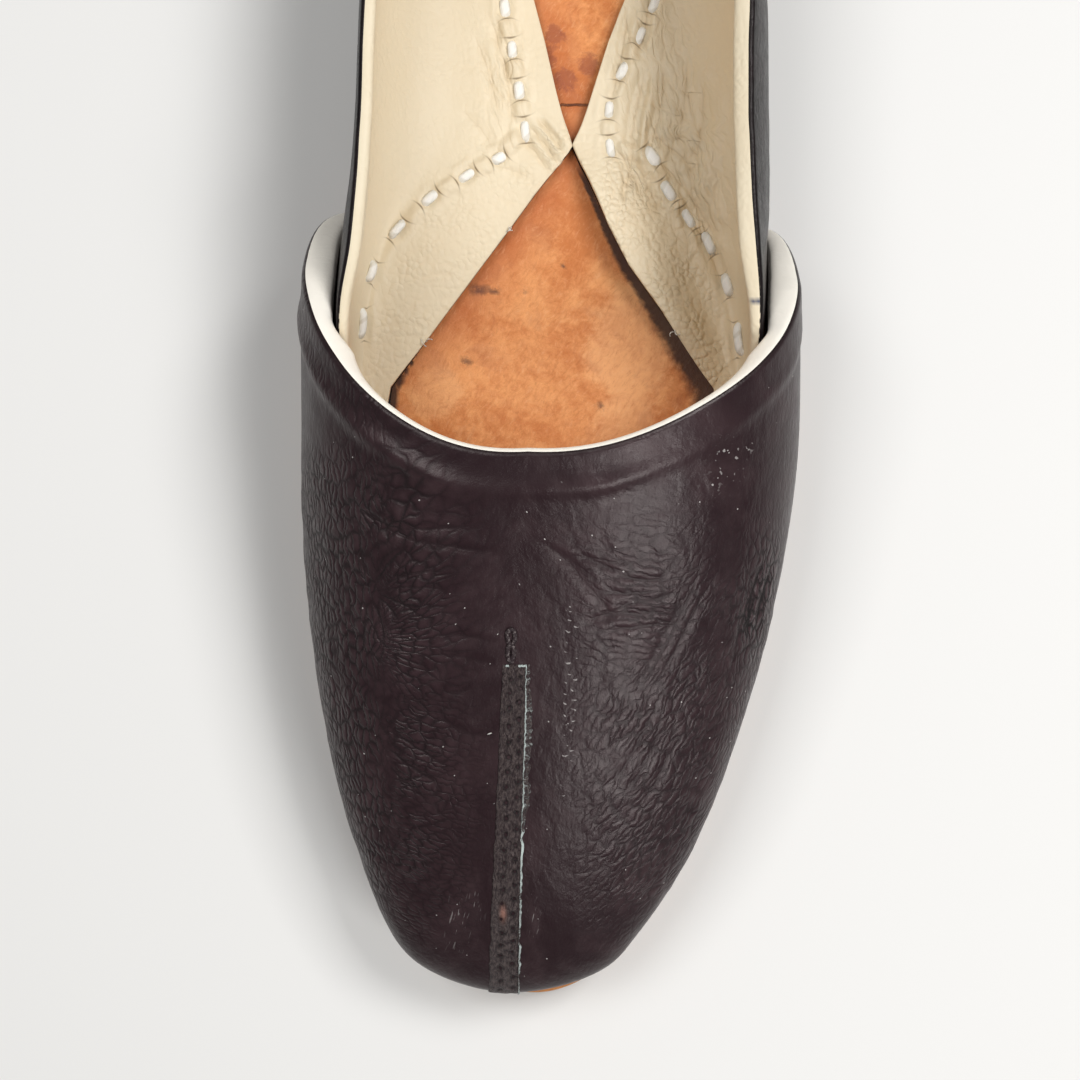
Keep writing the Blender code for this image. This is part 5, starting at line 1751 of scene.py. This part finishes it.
def strip_raw(strip, travelled):
    """Where the cut edge shows pale: a thread along the strip, worn off by the toe, tufts beyond it
    where the edge is wide, and bits across the strip's top end."""
    w, ragged, frayed = strip["w"], strip["ragged"], strip["frayed"]
    tufts = np.clip(0.30 + 0.20 * frayed, 0, 1)[:, None]
    worn_off = np.interp(strip["plan"] * 1000, (0, 24, 34, 74), (0.45, 0.35, 0.0, 0.0))
    thread = np.clip(0.92 - worn_off + 0.2 * frayed + 0.3 * ragged, 0, 1)[:, None]
    band = np.where(w > 1, np.where(w < 1.16, thread, tufts), 0)
    band = np.where((w > 1) & (strip["raw"][:, None] < 0.0007), thread, band)
    bits = ((w > -0.75) & (w < -0.35)) | ((w > 0.35) & (w < 1.2))
    band[1:3] = np.maximum(band[1:3], np.where(bits, 0.85, 0))
    toe_end = smooth(travelled, travelled[-1] - 0.004, travelled[-1])[:, None]
    return band * (1 - 0.5 * toe_end)


def strip_sheet(last, samples, faces, colours):
    """The strip: it rises a little between its edges, slopes down over the raw edge, and is dented
    at its holes."""
    strip = strip_rows(last)
    w = strip["w"]
    points, normals = strip_on_vamp(last, strip, samples, faces)
    travelled = lengths_along(points[:, 12])
    hole = strip_holes(strip, travelled)
    rise = np.where(w > 1, 0.00042 * (2 - w) ** 0.7, 0.00022 * (1 - np.abs(w) ** 14))
    rise = rise + 0.00008 * noise(points, 0.0016, 22) - 0.00050 * hole
    rise = np.where((w == -1) | (w == 2), -0.00035, rise)
    rise[0] = -0.0003
    points = points + normals * (rise + 0.00010)[..., None]
    masks = {
        "raw": strip_raw(strip, travelled),
        "hole": np.clip(hole * 1.4, 0, 1),
        "wear": 0.8 * spots(points, last, STRIP_WORN),
    }
    quads = grid_quads(points, (60, 12), (0, 0, 1))
    chart = np.stack(np.broadcast_arrays(strip["offset"], travelled[:, None]), axis=-1) * 1000
    make_piece("toe_strip", points, quads, strip_leather(colours), ("toe_seam_strip",),
               masks, {"chart": chart}, wall=last.sizes.strip_leather)


def strip_knot(last, samples, faces, colours):
    """The knot above the strip: closed loops of thread on the vamp, wider at one end."""
    turn = np.linspace(0, 2 * np.pi, 49)
    paths = []
    for x, y, wide, high in STRIP_LOOPS:
        px, py = last.from_chart(
            x + wide * np.sin(turn) * (1 + 0.2 * np.cos(turn)), y + high * np.cos(turn))
        found, face = on_surface(samples, faces, px, py)
        paths.append(found + face * 0.0002)
    points, quads, chart = tubes(np.array(paths), UPRIGHT, 0.00048, 0.00036)
    make_piece("strip_knot", points, quads, strip_thread(colours), charts={"chart": chart})


class JUTTI_OT_toe_strip(bpy.types.Operator):
    """Builds the dark strip over the toe seam, with its stitch holes, raw edge and knot"""

    bl_idname = "jutti.toe_strip"
    bl_label = "Toe strip"

    def execute(self, context):
        last, colours = shoe(context)
        form = vamp_form(last, *VAMP_FINE)
        near = (np.abs(form["x"] + 8.5) < 9) & (form["y"] < 86) & (form["up"] > -0.85)
        samples, faces = form["points"][near], form["normals"][near]
        strip_sheet(last, samples, faces, colours)
        strip_knot(last, samples, faces, colours)
        return {"FINISHED"}


def ray_hits(origin, way, samples, faces):
    """Where rays meet a surface: the sample nearest to each ray gives a tangent plane to meet."""
    start, along = origin.reshape(-1, 3), way.reshape(-1, 3)
    hits = np.empty_like(start)
    for part in np.array_split(np.arange(len(start)), 60):
        offset = samples[None] - start[part, None]
        ahead = (offset * along[part, None]).sum(axis=-1)
        far = (offset**2).sum(axis=-1) - ahead**2 + np.where(ahead < 0, 1, 0)
        pick = far.argmin(axis=1)
        face, sample = faces[pick], samples[pick]
        reach = ((sample - start[part]) * face).sum(axis=-1) / (along[part] * face).sum(axis=-1)
        hits[part] = start[part] + along[part] * reach[:, None]
    return hits.reshape(origin.shape)


def insole_masks(last, points):
    """Where the insole is stained, pale, slit, burnt by the medial flap, and where a painted shadow lies
    beside the flaps' edges, whose distance counts in widths of that shadow: wide under the lateral
    flap, wider towards the throat, and narrow under the medial one, by the throat alone."""
    y = last.to_chart(points)[1]
    quarter = quarter_form(last, *QUARTER_COARSE)
    level = np.array((1.0, 1.0, 0.0))
    edges = []
    for chosen in (~quarter["lateral"][:, 0], quarter["lateral"][:, 0]):
        edge = quarter["points"][chosen, -1]
        edges.append(nearest(points * level, edge * level)[1] * 1000)
    medial, lateral = edges
    wide = 5.4 - 3.8 * smooth(y, 122, 158) - 0.8 * smooth(y, 158, 174)
    corner = 0.05 + 1.7 * (1 - smooth(y, 130, 143))
    return {
        "stain": spots(points, last, INSOLE_STAINS),
        "red": spots(points, last, INSOLE_REDS),
        "pale": spots(points, last, INSOLE_PALES),
        "slit": spots(points, last, ((5.0, INSOLE_SLIT, 5.0, 3.0),)),
        "slit_side": y - INSOLE_SLIT,
        "burnt": np.exp(-((medial / 7) ** 2)) * smooth(y, 120, 150),
        # Painted shadow beside the flaps' edges: distance in widths of the shadow, and where it is kept
        "tuck": np.minimum(lateral / wide, medial / corner),
        "tucked": 1 - smooth(y, 176, 181),
    }


def insole_sheet(last, colours):
    """The insole: rows straight across between mated points of its outline, a little uneven."""
    x, y = last.sole_outline(INSOLE_INSET, OUTLINE_STEPS)
    half = len(x) // 2
    pair = np.arange(1, half)
    share = np.linspace(0, 1, 90)
    across = x[pair, None] + (x[-pair, None] - x[pair, None]) * share
    along = y[pair, None] + (y[-pair, None] - y[pair, None]) * share
    points = last.to_frame(across, along, last.insole_underside(along) + last.sizes.insole)
    points[..., 2] += 0.00012 * noise(points, 0.012, 31) - 0.00005
    quads = grid_quads(points, (half // 2, 40), (0, 0, 1))
    make_piece("insole_leather", points, quads, tan_insole(colours), ("insole",),
               insole_masks(last, points), wall=last.sizes.insole)


def outsole_block(last, colours):
    """The outsole: rings from the middle line of the underside out, up the edge's profile and back
    to the middle line on top. The first and last rings are folded onto that line."""
    rings = [last.sole_outline(inset, OUTLINE_STEPS) for inset, _ in SOLE_PROFILE]
    count = len(rings[0][0])
    mate = -np.arange(count) % count
    inner_x, inner_y = rings[0]
    axis_x = (inner_x + inner_x[mate]) / 2
    axis_y = np.clip((inner_y + inner_y[mate]) / 2, *SOLE_AXIS)

    def between(outline, reach):
        return axis_x + (outline[0] - axis_x) * reach, axis_y + (outline[1] - axis_y) * reach

    inside = np.linspace(0, 1, UNDER_RINGS, endpoint=False)
    plans = [(between(rings[0], reach), 0.0) for reach in inside]
    plans += [(ring, height) for ring, (_, height) in zip(rings, SOLE_PROFILE)]
    plans += [(between(rings[-1], reach), last.sizes.outsole) for reach in (0.6, 0.0)]
    points = np.stack(
        [last.to_frame(x, y, last.floor_height(y) + height) for (x, y), height in plans], axis=1)
    index = folded_index(*points.shape[:2], rows=(0, -1), first=1)
    quads = grid_quads(points, (count // 4, 4), (0, 0, -1), np.concatenate((index, index[:1])))
    dark = np.zeros(points.shape[:2])
    dark[:, UNDER_RINGS:UNDER_RINGS + len(SOLE_PROFILE)] = SOLE_DARK
    make_piece("outsole_leather", points, quads, sole_leather(colours), ("outsole",),
               {"dark": dark})


class JUTTI_OT_sole(bpy.types.Operator):
    """Builds the tan insole and the layered outsole"""

    bl_idname = "jutti.sole"
    bl_label = "Insole and outsole"

    def execute(self, context):
        last, colours = shoe(context)
        insole_sheet(last, colours)
        outsole_block(last, colours)
        return {"FINISHED"}


class JUTTI_OT_fibres(bpy.types.Operator):
    """Builds the loose fibres and lint that lie on the leather"""

    bl_idname = "jutti.fibres"
    bl_label = "Loose fibres"

    def execute(self, context):
        last, colours = shoe(context)
        vamp = vamp_form(last, *VAMP_COARSE, relief=False)
        upper = vamp["up"] > 0.3
        grounds = {
            "flap": flap_surface(last, quarter_form(last, *QUARTER_FINE)),
            "vamp": (vamp["points"][upper], vamp["normals"][upper]),
        }
        s = np.linspace(0, 1, FIBRE_STEPS)
        rise = 0.0001 + 0.0006 * np.sin(np.pi * s) ** 2
        paths = []
        for ground, x, y, length, way, curl in FIBRES:
            turn = np.radians(way) + curl * (s - 0.5)
            step = length / (FIBRE_STEPS - 1)
            px, py = last.from_chart(x + np.cumsum(np.cos(turn)) * step, y + np.cumsum(np.sin(turn)) * step)
            found, facing = on_surface(*grounds[ground], px, py)
            paths.append(found + facing * rise[:, None])
        points, quads, chart = tubes(np.array(paths), UPRIGHT, FIBRE_RADIUS, FIBRE_RADIUS)
        thread = twisted_thread("fibre_white", colours.thread, FIBRE_SHADE, 1.0)
        make_piece("loose_fibres", points, quads, thread, charts={"chart": chart})
        return {"FINISHED"}


class JUTTI_OT_stage(bpy.types.Operator):
    """Builds the floor, the lamps and the camera that looks straight down"""

    bl_idname = "jutti.stage"
    bl_label = "Stage"

    def execute(self, context):
        scene = context.scene
        stage = scene.jutti_stage
        side = np.linspace(-FLOOR_REACH, FLOOR_REACH, 9)
        x, y = np.meshgrid(side, side, indexing="ij")
        points = np.stack((x, y, np.full_like(x, FLOOR_HEIGHT)), axis=-1)
        quads = grid_quads(points, (4, 4), (0, 0, 1))
        make_piece("floor", points, quads, plain_floor(scene.jutti_colours))
        camera = bpy.data.objects.new("camera", bpy.data.cameras.new("camera"))
        scene.collection.objects.link(camera)
        last = Last(scene.jutti_sizes)
        x, y = last.from_chart(stage.camera_across * 1000, stage.camera_along * 1000)
        camera.location = (x, y, stage.camera_height)
        camera.data.sensor_width = SENSOR_WIDTH
        camera.data.lens = stage.lens
        camera.data.clip_start = 0.01
        scene.camera = camera
        for name, power, place, size in LAMPS:
            lamp = bpy.data.lights.new(name, "AREA")
            lamp.energy = getattr(stage, power)
            lamp.size = size
            holder = bpy.data.objects.new(name, lamp)
            scene.collection.objects.link(holder)
            holder.location = place
            aim = Vector(LAMPS_AIM) - holder.location
            holder.rotation_euler = aim.to_track_quat("-Z", "Y").to_euler()
        world = bpy.data.worlds.new("studio")
        scene.world = world
        world.use_nodes = True
        sky = world.node_tree.nodes["Background"]
        sky.inputs["Color"].default_value = SKY_TINT
        sky.inputs["Strength"].default_value = stage.sky
        scene.view_settings.view_transform = "Standard"
        return {"FINISHED"}


class JUTTI_PT_panel(bpy.types.Panel):
    """Lists the pieces of the shoe"""

    bl_idname = "JUTTI_PT_panel"
    bl_label = "Jutti"
    bl_space_type = "VIEW_3D"
    bl_region_type = "UI"
    bl_category = "Jutti"

    def draw(self, context):
        for step in STEPS:
            self.layout.operator(step.bl_idname)


STEPS = (
    JUTTI_OT_sole,
    JUTTI_OT_quarter,
    JUTTI_OT_sole_stitches,
    JUTTI_OT_vamp,
    JUTTI_OT_toe_strip,
    JUTTI_OT_fibres,
    JUTTI_OT_stage,
)
GROUPS = (JuttiSizes, JuttiColours, JuttiStage)


def register():
    """Makes the groups, operators and panel known, and gives the scene its sizes and colours."""
    for made in (*GROUPS, *STEPS, JUTTI_PT_panel):
        bpy.utils.register_class(made)
    bpy.types.Scene.jutti_sizes = PointerProperty(type=JuttiSizes)
    bpy.types.Scene.jutti_colours = PointerProperty(type=JuttiColours)
    bpy.types.Scene.jutti_stage = PointerProperty(type=JuttiStage)


def unregister():
    """Takes back what register made."""
    del bpy.types.Scene.jutti_stage
    del bpy.types.Scene.jutti_colours
    del bpy.types.Scene.jutti_sizes
    for made in reversed((*GROUPS, *STEPS, JUTTI_PT_panel)):
        bpy.utils.unregister_class(made)


def main():
    """Builds every piece in order."""
    register()
    for step in STEPS:
        group, name = step.bl_idname.split(".")
        getattr(getattr(bpy.ops, group), name)()


if __name__ == "__main__":
    main()
